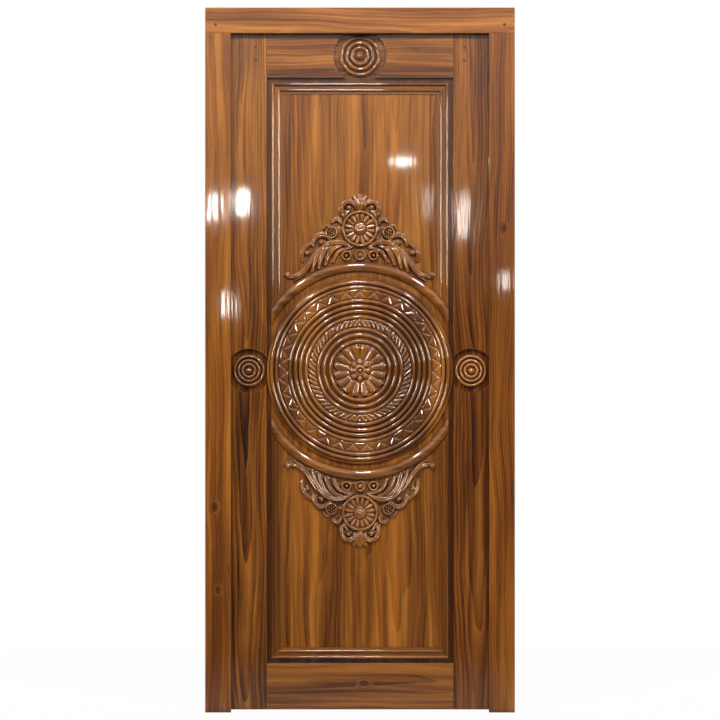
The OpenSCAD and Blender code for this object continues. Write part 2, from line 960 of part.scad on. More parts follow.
module upper_crest() {
    color(carved_wood)
        on_boards()
            crest();
}

module lower_crest() {
    color(carved_wood)
        on_boards()
            mirror([0, 1, 0])
                crest();
}

// Rosettes

// Rings of a rosette, as shares of its radius, from the rim to the middle
rosette_rings = [0.88, 0.62, 0.38];
rosette_bead = 0.09;
rosette_button = 0.2;

// A turned rosette: a stepped body with a bead on each step and a button in the middle
module rosette(r) {
    rotate_extrude() {
        for (i = [0 : len(rosette_rings) - 1]) {
            step_h = rosette_rim_h + i * rosette_step;
            square([(rosette_rings[i] + rosette_bead) * r, step_h]);
            translate([rosette_rings[i] * r, step_h])
                circle(r = rosette_bead * r);
        }
        intersection() {
            translate([0, rosette_rim_h + rosette_step])
                circle(r = rosette_button * r);
            square([r, r]);
        }
    }
}

module top_rosette() {
    color(carved_wood)
        on_boards(rosette_z)
            rosette(top_rosette_r);
}

module left_rosette() {
    color(carved_wood)
        translate([-rosette_x, 0, 0])
            on_boards()
                rosette(side_rosette_r);
}

module right_rosette() {
    color(carved_wood)
        translate([rosette_x, 0, 0])
            on_boards()
                rosette(side_rosette_r);
}

// Hinges

// Recesses for the two plates of a hinge
module frame_gain(z) {
    g = joint_gap;
    box([-rebate_x - plate_t - g, back_y - plate_w - g, z - hinge_h / 2 - g],
        [-rebate_x + over, back_y + over, z + hinge_h / 2 + g]);
}

module leaf_gain(z) {
    g = joint_gap;
    box([-leaf_x - over, back_y - plate_w - g, z - hinge_h / 2 - g],
        [-leaf_x + plate_t + g, back_y + over, z + hinge_h / 2 + g]);
}

// A plate with its share of the knuckles, from the given one on, and its countersunk holes
module hinge_plate(z, left, first) {
    low = z - hinge_h / 2;
    difference() {
        union() {
            box([left, back_y - plate_w, low], [left + plate_t, back_y, low + hinge_h]);
            for (i = [first : 2 : knuckles - 1]) {
                from = low + i * knuckle_h + (i == 0 ? 0 : knuckle_gap / 2);
                to = low + (i + 1) * knuckle_h - (i == knuckles - 1 ? 0 : knuckle_gap / 2);
                box([left, back_y - over, from], [left + plate_t, hinge_y, to]);
                translate([hinge_x, hinge_y, from])
                    cylinder(r = knuckle_r, h = to - from);
            }
        }
        translate([hinge_x, hinge_y, low - over])
            cylinder(r = pin_r + pin_gap, h = hinge_h + 2 * over);
    }
}

// A countersunk screw along Z with its head at the origin, or with a gap the hole for it
module screw(gap) {
    past = gap > 0 ? over : 0;
    rotate_extrude()
        polygon([
            [0, -past], [screw_head_r + gap, -past], [screw_head_r + gap, 0], [screw_r + gap, plate_t],
            [screw_r + gap, screw_l - 2 * screw_r + gap], [0, screw_l + gap]
        ]);
}

module screw_places() {
    for (z = hinge_z)
        for (i = [0 : len(screw_rows) - 1])
            translate([0, screw_y + (i % 2 == 0 ? -1 : 1) * screw_offset, z + screw_rows[i]])
                children();
}

module frame_screw_bodies(gap) {
    screw_places()
        translate([-rebate_x, 0, 0])
            rotate([0, -90, 0])
                screw(gap);
}

module leaf_screw_bodies(gap) {
    screw_places()
        translate([-leaf_x, 0, 0])
            rotate([0, 90, 0])
                screw(gap);
}

module hinge_frame_plate(number) {
    color(brass)
        difference() {
            hinge_plate(hinge_z[number - 1], -rebate_x - plate_t, 0);
            frame_screw_bodies(joint_gap);
        }
}

module hinge_leaf_plate(number) {
    color(brass)
        difference() {
            hinge_plate(hinge_z[number - 1], -leaf_x, 1);
            leaf_screw_bodies(joint_gap);
        }
}

// A pin with a button at each end
module hinge_pin(number) {
    half = hinge_h / 2 + knuckle_gap;
    button_r = knuckle_r - over;
    button_h = pin_r;
    color(brass)
        translate([hinge_x, hinge_y, hinge_z[number - 1]])
            rotate_extrude()
                polygon([
                    [0, -half - button_h], [pin_r, -half - button_h], [button_r, -half - button_h / 2],
                    [button_r, -half], [pin_r, -half], [pin_r, half], [button_r, half],
                    [button_r, half + button_h / 2], [pin_r, half + button_h], [0, half + button_h]
                ]);
}

module frame_screws() {
    color(brass)
        frame_screw_bodies(0);
}

module leaf_screws() {
    color(brass)
        leaf_screw_bodies(0);
}

left_jamb();
right_jamb();
frame_head();
frame_pegs();
hinge_frame_plate(1);  // hinge_frame_plate_1
hinge_frame_plate(2);  // hinge_frame_plate_2
hinge_frame_plate(3);  // hinge_frame_plate_3
hinge_pin(1);  // hinge_pin_1
hinge_pin(2);  // hinge_pin_2
hinge_pin(3);  // hinge_pin_3
frame_screws();
left_stile();
right_stile();
top_rail();
bottom_rail();
leaf_pegs();
board(1);  // board_1
board(2);  // board_2
board(3);  // board_3
board(4);  // board_4
board(5);  // board_5
board(6);  // board_6
board(7);  // board_7
upper_left_moulding();
upper_right_moulding();
top_moulding();
upper_arch();
lower_left_moulding();
lower_right_moulding();
bottom_moulding();
lower_arch();
medallion();
upper_crest();
lower_crest();
top_rosette();
left_rosette();
right_rosette();
back_left_moulding();
back_right_moulding();
back_top_moulding();
back_bottom_moulding();
hinge_leaf_plate(1);  // hinge_leaf_plate_1
hinge_leaf_plate(2);  // hinge_leaf_plate_2
hinge_leaf_plate(3);  // hinge_leaf_plate_3
leaf_screws();
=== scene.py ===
# %% [markdown]
# # A carved door in its frame
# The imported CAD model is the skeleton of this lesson: jambs, stiles, rails, boards, mouldings and hinges
# already stand in their right places, in metres. Blender adds the looks: the grain and varnish of the wood,
# the finer carving of the medallion, crests and rosettes, the studio and the camera.

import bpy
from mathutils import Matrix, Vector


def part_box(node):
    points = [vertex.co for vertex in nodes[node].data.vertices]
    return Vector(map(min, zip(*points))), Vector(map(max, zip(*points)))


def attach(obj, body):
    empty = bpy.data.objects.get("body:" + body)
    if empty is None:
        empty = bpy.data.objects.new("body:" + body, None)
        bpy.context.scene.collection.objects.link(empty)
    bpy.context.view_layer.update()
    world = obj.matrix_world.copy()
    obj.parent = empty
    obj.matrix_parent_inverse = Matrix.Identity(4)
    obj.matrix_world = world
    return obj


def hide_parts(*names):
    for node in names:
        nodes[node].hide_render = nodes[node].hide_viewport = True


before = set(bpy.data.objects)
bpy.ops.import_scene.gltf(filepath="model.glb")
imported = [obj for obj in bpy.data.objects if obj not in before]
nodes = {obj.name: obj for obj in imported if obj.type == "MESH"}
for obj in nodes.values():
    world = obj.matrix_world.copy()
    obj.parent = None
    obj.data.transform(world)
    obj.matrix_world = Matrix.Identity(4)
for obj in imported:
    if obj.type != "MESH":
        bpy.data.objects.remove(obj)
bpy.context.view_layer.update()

# %% Tools for this lesson
import math

import bmesh
import bpy
import numpy as np
from mathutils import Vector

MM = 0.001


def placed(name, data):
    """A new object of the scene, at the origin."""
    made = bpy.data.objects.new(name, data)
    bpy.context.scene.collection.objects.link(made)
    return made


print("nodes from the CAD model:", len(nodes))

# %% [markdown]
# ## Colours and shader nodes
# A shader wants linear colours, but it is easier to write a colour as a screen shows it. One small function
# turns the one into the other. A second one adds a shader node, sets its values and links its inputs, and a few
# more build on it, so that a material reads as a short list of steps instead of pages of clicks.

# %% Helpers for materials
def srgb(r, g, b):
    """A screen colour, 0 to 255 a channel, as the linear colour of a shader."""
    def linear(c):
        c = c / 255
        return c / 12.92 if c <= 0.04045 else ((c + 0.055) / 1.055) ** 2.4
    return (linear(r), linear(g), linear(b), 1.0)


def put(tree, kind, links=None, values=None, **settings):
    """Adds a shader node, with its settings, its fixed values and its links."""
    made = tree.nodes.new(kind)
    for key, value in settings.items():
        setattr(made, key, value)
    for key, value in (values or {}).items():
        made.inputs[key].default_value = value
    for key, socket in (links or {}).items():
        tree.links.new(socket, made.inputs[key])
    return made


def feed(tree, entry, item):
    """Gives a node's input a link, where the item is a socket, or else a fixed value."""
    if isinstance(item, bpy.types.NodeSocket):
        tree.links.new(item, entry)
    else:
        entry.default_value = item


MIX_FACTOR, MIX_A, MIX_B, MIX_RESULT = 0, 6, 7, 2  # where a mix node has its colour sockets


def mix(tree, factor, a, b):
    """Mixes two colours, each a socket or a fixed colour, by a factor that is a socket or a number."""
    made = put(tree, "ShaderNodeMix", data_type="RGBA")
    for index, item in ((MIX_FACTOR, factor), (MIX_A, a), (MIX_B, b)):
        feed(tree, made.inputs[index], item)
    return made.outputs[MIX_RESULT]


def spread(tree, socket, low, high, to_low=0.0, to_high=1.0, ease="LINEAR"):
    """Stretches a value from one range to another and stops at its ends."""
    values = {"From Min": low, "From Max": high, "To Min": to_low, "To Max": to_high}
    return put(tree, "ShaderNodeMapRange", {"Value": socket}, values, interpolation_type=ease).outputs[0]


def maths(tree, operation, a, b=None):
    """One sum with sockets or numbers."""
    made = put(tree, "ShaderNodeMath", operation=operation)
    for index, item in enumerate((a, b)):
        if item is not None:
            feed(tree, made.inputs[index], item)
    return made.outputs[0]


def new_material(name):
    """An empty material, its tree of nodes, and the places on the object that it is laid out by."""
    material = bpy.data.materials.new(name)
    material.use_nodes = True
    tree = material.node_tree
    tree.nodes.clear()
    return material, tree, put(tree, "ShaderNodeTexCoord").outputs["Object"]


print("helpers ready; middle brown as linear:", [round(c, 3) for c in srgb(146, 84, 32)])

# %% [markdown]
# ## Varnished wood
# A plank is cut out of a trunk, so its figure is a slice through rings. A picture of wood could be laid on each
# face, but it would repeat, and break at every edge. So the material cuts each plank out of a trunk of its own: a
# ring pattern round a heart line that runs a little behind the plank and leans a little, which gives the pointed
# arches in the middle of a plank. Noise drawn out along the grain adds what rings alone lack: streaks, thin
# dark lines, smoky stains and fine fibres. Painted shade darkens the corners, handling brightens the edges.
# Over it all lies a clear coat of varnish, uneven enough to make highlights run.

# %% Noise and knots along the grain
GRAIN = {  # size across and along the grain in metres, detail, roughness, a shift of its own
    "stray": (0.22, 0.55, 2, 0.5, 11), "broad": (0.07, 1.2, 2, 0.5, 3),
    "streaks": (0.019, 0.6, 3, 0.5, 0), "fibres": (0.0016, 0.07, 2, 0.6, 0),
    "veins": (0.03, 1.5, 3, 0.6, 13), "smoke": (0.032, 0.38, 3, 0.55, 17),
    "pores": (0.0011, 0.018, 1, 0.5, 7), "sag": (0.022, 0.2, 2, 0.5, 5),
    "brushed": (0.0008, 0.03, 2, 0.6, 0),
}


def knot_nearness(tree, coords, knots):
    """1 in the middle of a knot, 0 away from it. A knot is longer along the grain than across."""
    near = None
    for x, z, size, squeeze_x, squeeze_z in knots:
        spot = put(tree, "ShaderNodeMapping", {"Vector": coords},
                   {"Location": (-x * squeeze_x, 0, -z * squeeze_z), "Scale": (squeeze_x, 0, squeeze_z)})
        away = put(tree, "ShaderNodeVectorMath", {0: spot.outputs[0]}, operation="LENGTH").outputs["Value"]
        one = spread(tree, away, 0, size, 1, 0, "SMOOTHERSTEP")
        near = one if near is None else maths(tree, "MAXIMUM", near, one)
    return near


def grain_noise(tree, vector, kind, shift=0.0):
    """Noise drawn out along the grain, of a kind in the table."""
    across, along, detail, rough, own = GRAIN[kind]
    off = shift + own
    laid = put(tree, "ShaderNodeMapping", {"Vector": vector},
               {"Location": (off, off * 0.7, off * 1.3), "Scale": (1 / across, 1 / across, 1 / along)})
    values = {"Scale": 1.0, "Detail": detail, "Roughness": rough}
    return put(tree, "ShaderNodeTexNoise", {"Vector": laid.outputs[0]}, values).outputs["Fac"]


def shared(tree, parts):
    """The sum of sockets, each with its own share."""
    total = None
    for socket, share in parts:
        part = maths(tree, "MULTIPLY", socket, share)
        total = part if total is None else maths(tree, "ADD", total, part)
    return total


print("patterns along the grain:", ", ".join(GRAIN))

# %% The figure of a plank
RING_TURN = 2 * math.pi / 20  # a ring texture of scale 1 has one ring in this distance
RING_NOISE = {"Distortion": 9.0, "Detail": 3.0, "Detail Scale": 0.25, "Detail Roughness": 0.65}
RING_PHASE = 9
RING_FAINT = 0.4  # what is left of the rings where they are faintest
HEART_LEAN = (math.radians(14), math.radians(5), 0)
TRUNK_STRETCH = 0.1  # the rings change a tenth as fast along the trunk
WANDER = 0.06  # how far the grain strays sideways, in metres
KNOT_BEND = 0.045  # how far a knot turns the rings aside, in metres
NOISE_MIDDLE, NOISE_RANGE = 0.5, (0.3, 0.7)
LINE_WIDTH, LINE_STREAKS = 0.011, (0.2, 0.8)
SMOKE_RANGE = (0.5, 0.72)
STREAK_SHARE, BROAD_SHARE, FIBRE_SHARE = 0.42, 0.42, 0.16


def plank_figure(tree, laid, near, heart, ring, shift, figure):
    """How dark each place of a plank is by its rings, streaks and fibres, and the fine patterns themselves."""
    stray = maths(tree, "SUBTRACT", grain_noise(tree, laid, "stray", shift), NOISE_MIDDLE)
    aside = put(tree, "ShaderNodeCombineXYZ", {"X": maths(tree, "MULTIPLY", stray, WANDER)})
    if near is not None:
        tree.links.new(maths(tree, "MULTIPLY", near, KNOT_BEND), aside.inputs["Y"])
    wavy = put(tree, "ShaderNodeVectorMath", {0: laid, 1: aside.outputs[0]}, operation="ADD").outputs[0]
    place = put(tree, "ShaderNodeMapping", {"Vector": wavy},
                {"Location": (*heart, shift), "Rotation": HEART_LEAN, "Scale": (1, 1, TRUNK_STRETCH)})
    rings = put(tree, "ShaderNodeTexWave", {"Vector": place.outputs[0]},
                {"Scale": RING_TURN / ring, "Phase Offset": shift * RING_PHASE, **RING_NOISE},
                wave_type="RINGS", rings_direction="Z", wave_profile="SAW").outputs["Fac"]
    broad = spread(tree, grain_noise(tree, wavy, "broad", shift), *NOISE_RANGE)
    streaks = spread(tree, grain_noise(tree, wavy, "streaks", shift), *NOISE_RANGE)
    fibres = spread(tree, grain_noise(tree, wavy, "fibres", shift), *NOISE_RANGE)
    rings = maths(tree, "MULTIPLY", rings, spread(tree, broad, 0, 1, RING_FAINT, 1))
    veins = maths(tree, "SUBTRACT", grain_noise(tree, wavy, "veins", shift), NOISE_MIDDLE)
    line = spread(tree, maths(tree, "ABSOLUTE", veins), 0, LINE_WIDTH, 1, 0)
    lines = maths(tree, "MULTIPLY", line, spread(tree, streaks, *LINE_STREAKS))
    smoke = spread(tree, grain_noise(tree, wavy, "smoke", shift), *SMOKE_RANGE)
    rest = 1 - figure
    depth = shared(tree, [(rings, figure), (streaks, STREAK_SHARE * rest), (broad, BROAD_SHARE * rest),
                          (fibres, FIBRE_SHARE * rest)])
    return depth, lines, smoke, broad, fibres


print("figure of a plank defined")

# %% The wood material
# painted shade colours: the darker one also colours the wood's dark lines and pores, the softer one is shade only
DARK_GRAIN_AND_PAINTED_SHADE, SOFT_PAINTED_SHADE = srgb(32, 11, 2), srgb(58, 26, 9)
KNOT = srgb(52, 24, 9)
ROLL = {"Z": (0, 0, 0), "X": (0, math.radians(90), 0)}
MIDDLE_TONE = 0.48  # the depth of figure at which a wood shows its middle colour
LIVELY, CALM = 0.22, 0.47  # how far from there a plank, or a carved piece, is all light or all dark
PORE_RANGE, PORE_SHARE = (0.66, 0.74), 0.3
KNOT_RANGE, KNOT_SHARE = (0.3, 0.95), 0.75
# shares of the painted highlight on ridges and of the painted shade in hollows, the channel and corners
RIDGE_HIGHLIGHT_SHARE, HOLLOW_SHADE_SHARE = 0.5, 0.9
CHANNEL_EDGE, CHANNEL_SHADE_SHARE = (-0.001, 0.003), 0.7
EDGE_REACH, EDGE_RANGE, EDGE_SHARE = 0.006, (0.35, 0.85), 0.4
CORNER_REACH, CORNER_RANGE, CORNER_SHADE_SHARE = 0.025, (0.3, 0.85), 0.78
GRAIN_BUMP, CARVED_BUMP, GRAIN_DEPTH = 0.25, 0.08, 0.0002
SAG_BUMP = {"Strength": 0.12, "Distance": 0.001}
WOOD_ROUGHNESS = (0.34, 0.5)
VARNISH = {"Specular IOR Level": 0.1, "Coat Weight": 1.0, "Coat Roughness": 0.05, "Coat IOR": 1.7}


def channel_shade_mask(tree, coords, channel):
    """1 outside the frame of mouldings, where shade is painted in the channel, and 0 inside it."""
    side, low, high = channel
    parts = put(tree, "ShaderNodeSeparateXYZ", {"Vector": coords})
    out = maths(tree, "SUBTRACT", maths(tree, "ABSOLUTE", parts.outputs["X"]), side)
    out = maths(tree, "MAXIMUM", out, maths(tree, "SUBTRACT", parts.outputs["Z"], high))
    out = maths(tree, "MAXIMUM", out, maths(tree, "SUBTRACT", low, parts.outputs["Z"]))
    return spread(tree, out, *CHANNEL_EDGE)


def varnished_wood(name, light, middle, dark, heart, ring, shift, along="Z", centre=(0, 0, 0), figure=0.26,
                   stain=0.5, knots=(), channel=None, carved=False, half=LIVELY):
    """A wood with its figure, stains, pores, painted shade, a painted highlight on carved ridges, and varnish.
    Lengths in metres.
    """
    material, tree, coords = new_material(name)
    middled = put(tree, "ShaderNodeMapping", {"Vector": coords}, {"Location": [-c for c in centre]})
    laid = put(tree, "ShaderNodeMapping", {"Vector": middled.outputs[0]}, {"Rotation": ROLL[along]}).outputs[0]
    near = knot_nearness(tree, coords, knots)
    depth, lines, smoke, broad, fibres = plank_figure(tree, laid, near, heart, ring, shift, figure)
    pores = spread(tree, grain_noise(tree, laid, "pores", shift), *PORE_RANGE)
    ramp = put(tree, "ShaderNodeValToRGB", {"Fac": broad if carved else depth})
    stops = ramp.color_ramp.elements
    stops[0].position, stops[0].color = MIDDLE_TONE - half, light
    stops[1].position, stops[1].color = MIDDLE_TONE + half, dark
    stops.new(MIDDLE_TONE).color = middle
    colour = ramp.outputs["Color"]
    if not carved:
        colour = mix(tree, maths(tree, "MULTIPLY", smoke, stain), colour, dark)
        colour = mix(tree, maths(tree, "MULTIPLY", lines, stain), colour, DARK_GRAIN_AND_PAINTED_SHADE)
        colour = mix(tree, maths(tree, "MULTIPLY", pores, PORE_SHARE), colour, DARK_GRAIN_AND_PAINTED_SHADE)
    if near is not None:
        colour = mix(tree, spread(tree, near, *KNOT_RANGE, 0, KNOT_SHARE), colour, KNOT)
    # on carved pieces a painted highlight lightens the ridges and painted shade darkens the hollows
    if carved:
        hollow = put(tree, "ShaderNodeAttribute", attribute_name="hollow").outputs["Fac"]
        ridge = put(tree, "ShaderNodeAttribute", attribute_name="ridge").outputs["Fac"]
        colour = mix(tree, maths(tree, "MULTIPLY", ridge, RIDGE_HIGHLIGHT_SHARE), colour, light)
        colour = mix(tree, maths(tree, "MULTIPLY", hollow, HOLLOW_SHADE_SHARE), colour, DARK_GRAIN_AND_PAINTED_SHADE)
    else:
        inner = put(tree, "ShaderNodeAmbientOcclusion", values={"Distance": EDGE_REACH}, samples=4, inside=True)
        colour = mix(tree, spread(tree, inner.outputs["AO"], *EDGE_RANGE, EDGE_SHARE, 0), colour, light)
    # painted shade in the channel round the boards' mouldings
    if channel is not None:
        channel_shade = maths(tree, "MULTIPLY", channel_shade_mask(tree, coords, channel), CHANNEL_SHADE_SHARE)
        colour = mix(tree, channel_shade, colour, SOFT_PAINTED_SHADE)
    # painted shade in corners and recesses, darkest where the least of the sky is open
    outer = put(tree, "ShaderNodeAmbientOcclusion", values={"Distance": CORNER_REACH}, samples=8)
    colour = mix(tree, spread(tree, outer.outputs["AO"], *CORNER_RANGE, CORNER_SHADE_SHARE, 0), colour,
                 DARK_GRAIN_AND_PAINTED_SHADE if carved else SOFT_PAINTED_SHADE)
    grain_bump = put(tree, "ShaderNodeBump", {"Height": maths(tree, "SUBTRACT", fibres, pores)},
                     {"Strength": CARVED_BUMP if carved else GRAIN_BUMP, "Distance": GRAIN_DEPTH})
    coat_bump = put(tree, "ShaderNodeBump", {"Height": grain_noise(tree, laid, "sag", shift)}, SAG_BUMP)
    surface = put(tree, "ShaderNodeBsdfPrincipled",
                  {"Base Color": colour, "Roughness": spread(tree, fibres, 0, 1, *WOOD_ROUGHNESS),
                   "Normal": grain_bump.outputs[0], "Coat Normal": coat_bump.outputs[0]}, VARNISH)
    put(tree, "ShaderNodeOutputMaterial", {"Surface": surface.outputs[0]})
    return material


def dress(node, material):
    """Gives a CAD node its material."""
    for slot in nodes[node].material_slots:
        slot.material = material


def middle_of(node):
    """The middle of a CAD node, in metres."""
    low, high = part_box(node)
    return [(a + b) / 2 for a, b in zip(low, high)]


def dress_planks(planks):
    """Gives each plank a wood of its own, laid out from the plank's middle."""
    for name, look in planks.items():
        dress(name, varnished_wood(name + "_wood", centre=middle_of(name), **look))


print("wood material defined")

# %% [markdown]
# ## Planks of the frame and the leaf
# No two planks of a real door look the same. One wood for all of them would be quicker, but the eye finds the
# repeat at once. So each plank gets its own cut from the trunk: another place of the heart line, another ring
# width, another shift of the streaks. The left jamb, the head and the boards are light, the stiles are darker
# and have the strongest figure, and a few knots show. Shade is painted in the channel round the boards' mouldings.

# %% Dress the frame
JAMB = dict(light=srgb(182, 116, 43), middle=srgb(146, 85, 25), dark=srgb(108, 57, 15))
RIGHT_JAMB = dict(light=srgb(168, 102, 34), middle=srgb(132, 74, 20), dark=srgb(78, 37, 8))

# a knot: its place on the door and its size in metres, and two scales, under 1 the way in which it is long
left_knots = [(-0.442, 0.624, 0.024, 1, 0.55), (-0.432, 0.372, 0.018, 1, 0.6)]
right_knots = [(0.436, 1.47, 0.020, 1, 0.6)]
dress_planks({
    "left_jamb": dict(JAMB, heart=(0.06, 0.03), ring=0.012, figure=0.18, shift=1.3, knots=left_knots),
    "right_jamb": dict(RIGHT_JAMB, heart=(-0.06, 0.03), ring=0.008, shift=4.1, knots=right_knots),
    "frame_head": dict(JAMB, along="X", heart=(0.03, 0.05), ring=0.01, shift=6.7),
})
print("frame dressed")

# %% Dress the stiles and rails
STILE = dict(light=srgb(168, 106, 40), middle=srgb(124, 70, 19), dark=srgb(54, 25, 6))
RIGHT_STILE = dict(light=srgb(154, 94, 32), middle=srgb(110, 58, 14), dark=srgb(50, 22, 5))
RAIL = dict(light=srgb(174, 110, 42), middle=srgb(140, 82, 26), dark=srgb(86, 44, 12))
bottom_knots = [(0.012, 0.085, 0.020, 0.6, 1)]
dress_planks({
    "left_stile": dict(STILE, heart=(0.004, 0.045), ring=0.0085, shift=2.2, figure=0.34, stain=0.6),
    "right_stile": dict(RIGHT_STILE, heart=(-0.006, 0.05), ring=0.0085, shift=8.6, figure=0.34, stain=0.6),
    "top_rail": dict(RAIL, along="X", heart=(0.05, 0.03), ring=0.01, shift=3.4),
    "bottom_rail": dict(RAIL, along="X", heart=(-0.01, 0.06), ring=0.012, shift=5.9, knots=bottom_knots),
})
print("stiles and rails dressed")

# %% Dress the boards of the panel
BOARD = dict(light=srgb(186, 120, 45), middle=srgb(147, 87, 28), dark=srgb(90, 47, 13))
BOARD_HALF = 0.29  # the boards are a little calmer than the other planks
BOARD_TONES = (0.9, 1.1, 0.84, 1.04, 1.14, 0.9, 1.06)
HEART_SWING, HEART_TURN, HEART_BEHIND = 0.05, 2.4, 0.03
# the channel round the mouldings, where the boards get painted shade
CHANNEL = (-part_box("upper_left_moulding")[0][0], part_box("bottom_moulding")[0][2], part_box("top_moulding")[1][2])


def toned(colour, tone):
    """The same colour, a little lighter or darker."""
    return tuple(c * tone for c in colour[:3]) + (1.0,)


def board_look(count, tone):
    """The colours of one board and its cut from the trunk."""
    off = HEART_SWING * math.sin(HEART_TURN * count)
    colours = {key: toned(colour, tone) for key, colour in BOARD.items()}
    return dict(colours, heart=(off, HEART_BEHIND + abs(off)), ring=0.008 + 0.002 * (count % 3),
                shift=1.7 * count, channel=CHANNEL, half=BOARD_HALF)


dress_planks({f"board_{count}": board_look(count, tone) for count, tone in enumerate(BOARD_TONES, start=1)})
print("boards dressed:", len(BOARD_TONES))

# %% Dress the mouldings
MOULDING = dict(RAIL, heart=(0.1, 0.05), ring=0.007, figure=0.12)
upright = varnished_wood("upright_moulding_wood", **MOULDING, shift=2.9)
lying = varnished_wood("lying_moulding_wood", **MOULDING, along="X", shift=7.2)
for name in nodes:
    if name.endswith("_moulding"):
        dress(name, upright if "left" in name or "right" in name else lying)
for name in ("upper_arch", "lower_arch"):
    dress(name, lying)
print("mouldings dressed:", sum(n.endswith("_moulding") for n in nodes))

# %% [markdown]
# ## Pegs and hinges
# The pegs are the ends of small dowels, so they show end grain, darker than the face of a plank. The hinges are
# plain brass: a metal with fine brushed lines and a slightly tarnished tone in patches. Each peg and screw could
# have a finish of its own, but they are small, so one wood serves all the pegs and one brass all the metal.

# %% Peg ends and brass
PEG_DARK, PEG_LIGHT = srgb(60, 29, 11), srgb(96, 52, 21)
PEG_GRAIN = {"Scale": 900, "Detail": 3}
PEG_POLISH = {"Specular IOR Level": 0.25, "Coat Weight": 0.7, "Coat Roughness": 0.12}
BRASS_BRIGHT, BRASS_DULL = srgb(196, 158, 84), srgb(128, 94, 44)
TARNISH = {"Scale": 45, "Detail": 4}


def end_grain(name):
    """Dark, close-pored wood for the ends of dowels."""
    material, tree, coords = new_material(name)
    pored = put(tree, "ShaderNodeTexNoise", {"Vector": coords}, PEG_GRAIN).outputs["Fac"]
    colour = mix(tree, spread(tree, pored, 0.35, 0.65), PEG_DARK, PEG_LIGHT)
    bump = put(tree, "ShaderNodeBump", {"Height": pored}, {"Strength": 0.2, "Distance": 0.0002})
    surface = put(tree, "ShaderNodeBsdfPrincipled",
                  {"Base Color": colour, "Roughness": spread(tree, pored, 0.3, 0.7, 0.4, 0.55),
                   "Normal": bump.outputs[0]}, PEG_POLISH)
    put(tree, "ShaderNodeOutputMaterial", {"Surface": surface.outputs[0]})
    return material


def brass(name):
    """Brushed brass with a little tarnish."""
    material, tree, coords = new_material(name)
    brushed = grain_noise(tree, coords, "brushed")
    tarnish = put(tree, "ShaderNodeTexNoise", {"Vector": coords}, TARNISH).outputs["Fac"]
    colour = mix(tree, spread(tree, tarnish, 0.42, 0.7), BRASS_BRIGHT, BRASS_DULL)
    bump = put(tree, "ShaderNodeBump", {"Height": brushed}, {"Strength": 0.15, "Distance": 0.0001})
    surface = put(tree, "ShaderNodeBsdfPrincipled",
                  {"Base Color": colour, "Roughness": spread(tree, tarnish, 0.35, 0.7, 0.26, 0.46),
                   "Normal": bump.outputs[0]}, {"Metallic": 1.0})
    put(tree, "ShaderNodeOutputMaterial", {"Surface": surface.outputs[0]})
    return material


peg_ends = end_grain("peg_end_grain")
hinge_brass = brass("hinge_brass")
for name in nodes:
    if name.endswith("_pegs"):
        dress(name, peg_ends)
    if name.startswith("hinge_") or name.endswith("_screws"):
        dress(name, hinge_brass)
print("pegs and hinges dressed")

# %% [markdown]
# ## How the carving is made
# A relief is a height over a flat board. It could be sculpted by hand, but that can't be written down and changed
# later. So each carved piece is written as a function that gives the height at a place, in millimetres, and a
# fine mesh is lifted to it. The same heights tell where the carving is hollow and where it stands proud: the
# material paints shade into the hollows and a highlight onto the ridges. Both go into the mesh as attributes for the
# material.

# %% Helpers for reliefs
BOARD_FACE = 2.0  # the boards' front face, in millimetres along Y
SUNK = 1.5  # how far a carved piece is let into the boards
FIELD_Z = 1037.5  # the height of the field's middle
MARK_PLACES = 10  # how many heights round a place tell whether it is hollow
SHARP_DEG = 70
MERGE = 1e-4  # vertices as near as this become one
LEAST_GAP = 0.3  # radii nearer than this are left out


def round_top(distance, radius):
    """The height of a round over its middle line, 0 outside it."""
    return np.sqrt(np.clip(radius * radius - distance * distance, 0, None))


def carve_marks(height, x, z, reach, strength):
    """How hollow and how proud each place is, from 0 to 1, by the heights that lie round it."""
    here = height(x, z)
    mean = np.zeros_like(here)
    for k in range(MARK_PLACES):
        turn = 2 * math.pi * k / MARK_PLACES
        mean += np.clip(height(x + reach * math.cos(turn), z + reach * math.sin(turn)), 0, None) / MARK_PLACES
    return np.clip((mean - here) / strength, 0, 1), np.clip((here - mean) / strength, 0, 1)


def marked_bmesh():
    """An empty bmesh with the two attributes that the carving's material reads."""
    bm = bmesh.new()
    return bm, bm.verts.layers.float.new("hollow"), bm.verts.layers.float.new("ridge")


def keep_piece(name, bm, material, node):
    """Turns a finished bmesh into an object that rides on the leaf and stands for its CAD node."""
    bmesh.ops.recalc_face_normals(bm, faces=bm.faces)
    mesh = bpy.data.meshes.new(name)
    bm.to_mesh(mesh)
    bm.free()
    mesh.polygons.foreach_set("use_smooth", [True] * len(mesh.polygons))
    mesh.set_sharp_from_angle(angle=math.radians(SHARP_DEG))
    mesh.materials.append(material)
    piece = placed(name, mesh)
    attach(piece, "door_leaf")
    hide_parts(node)
    print(name, "has", sum(len(p.vertices) - 2 for p in mesh.polygons), "triangles")


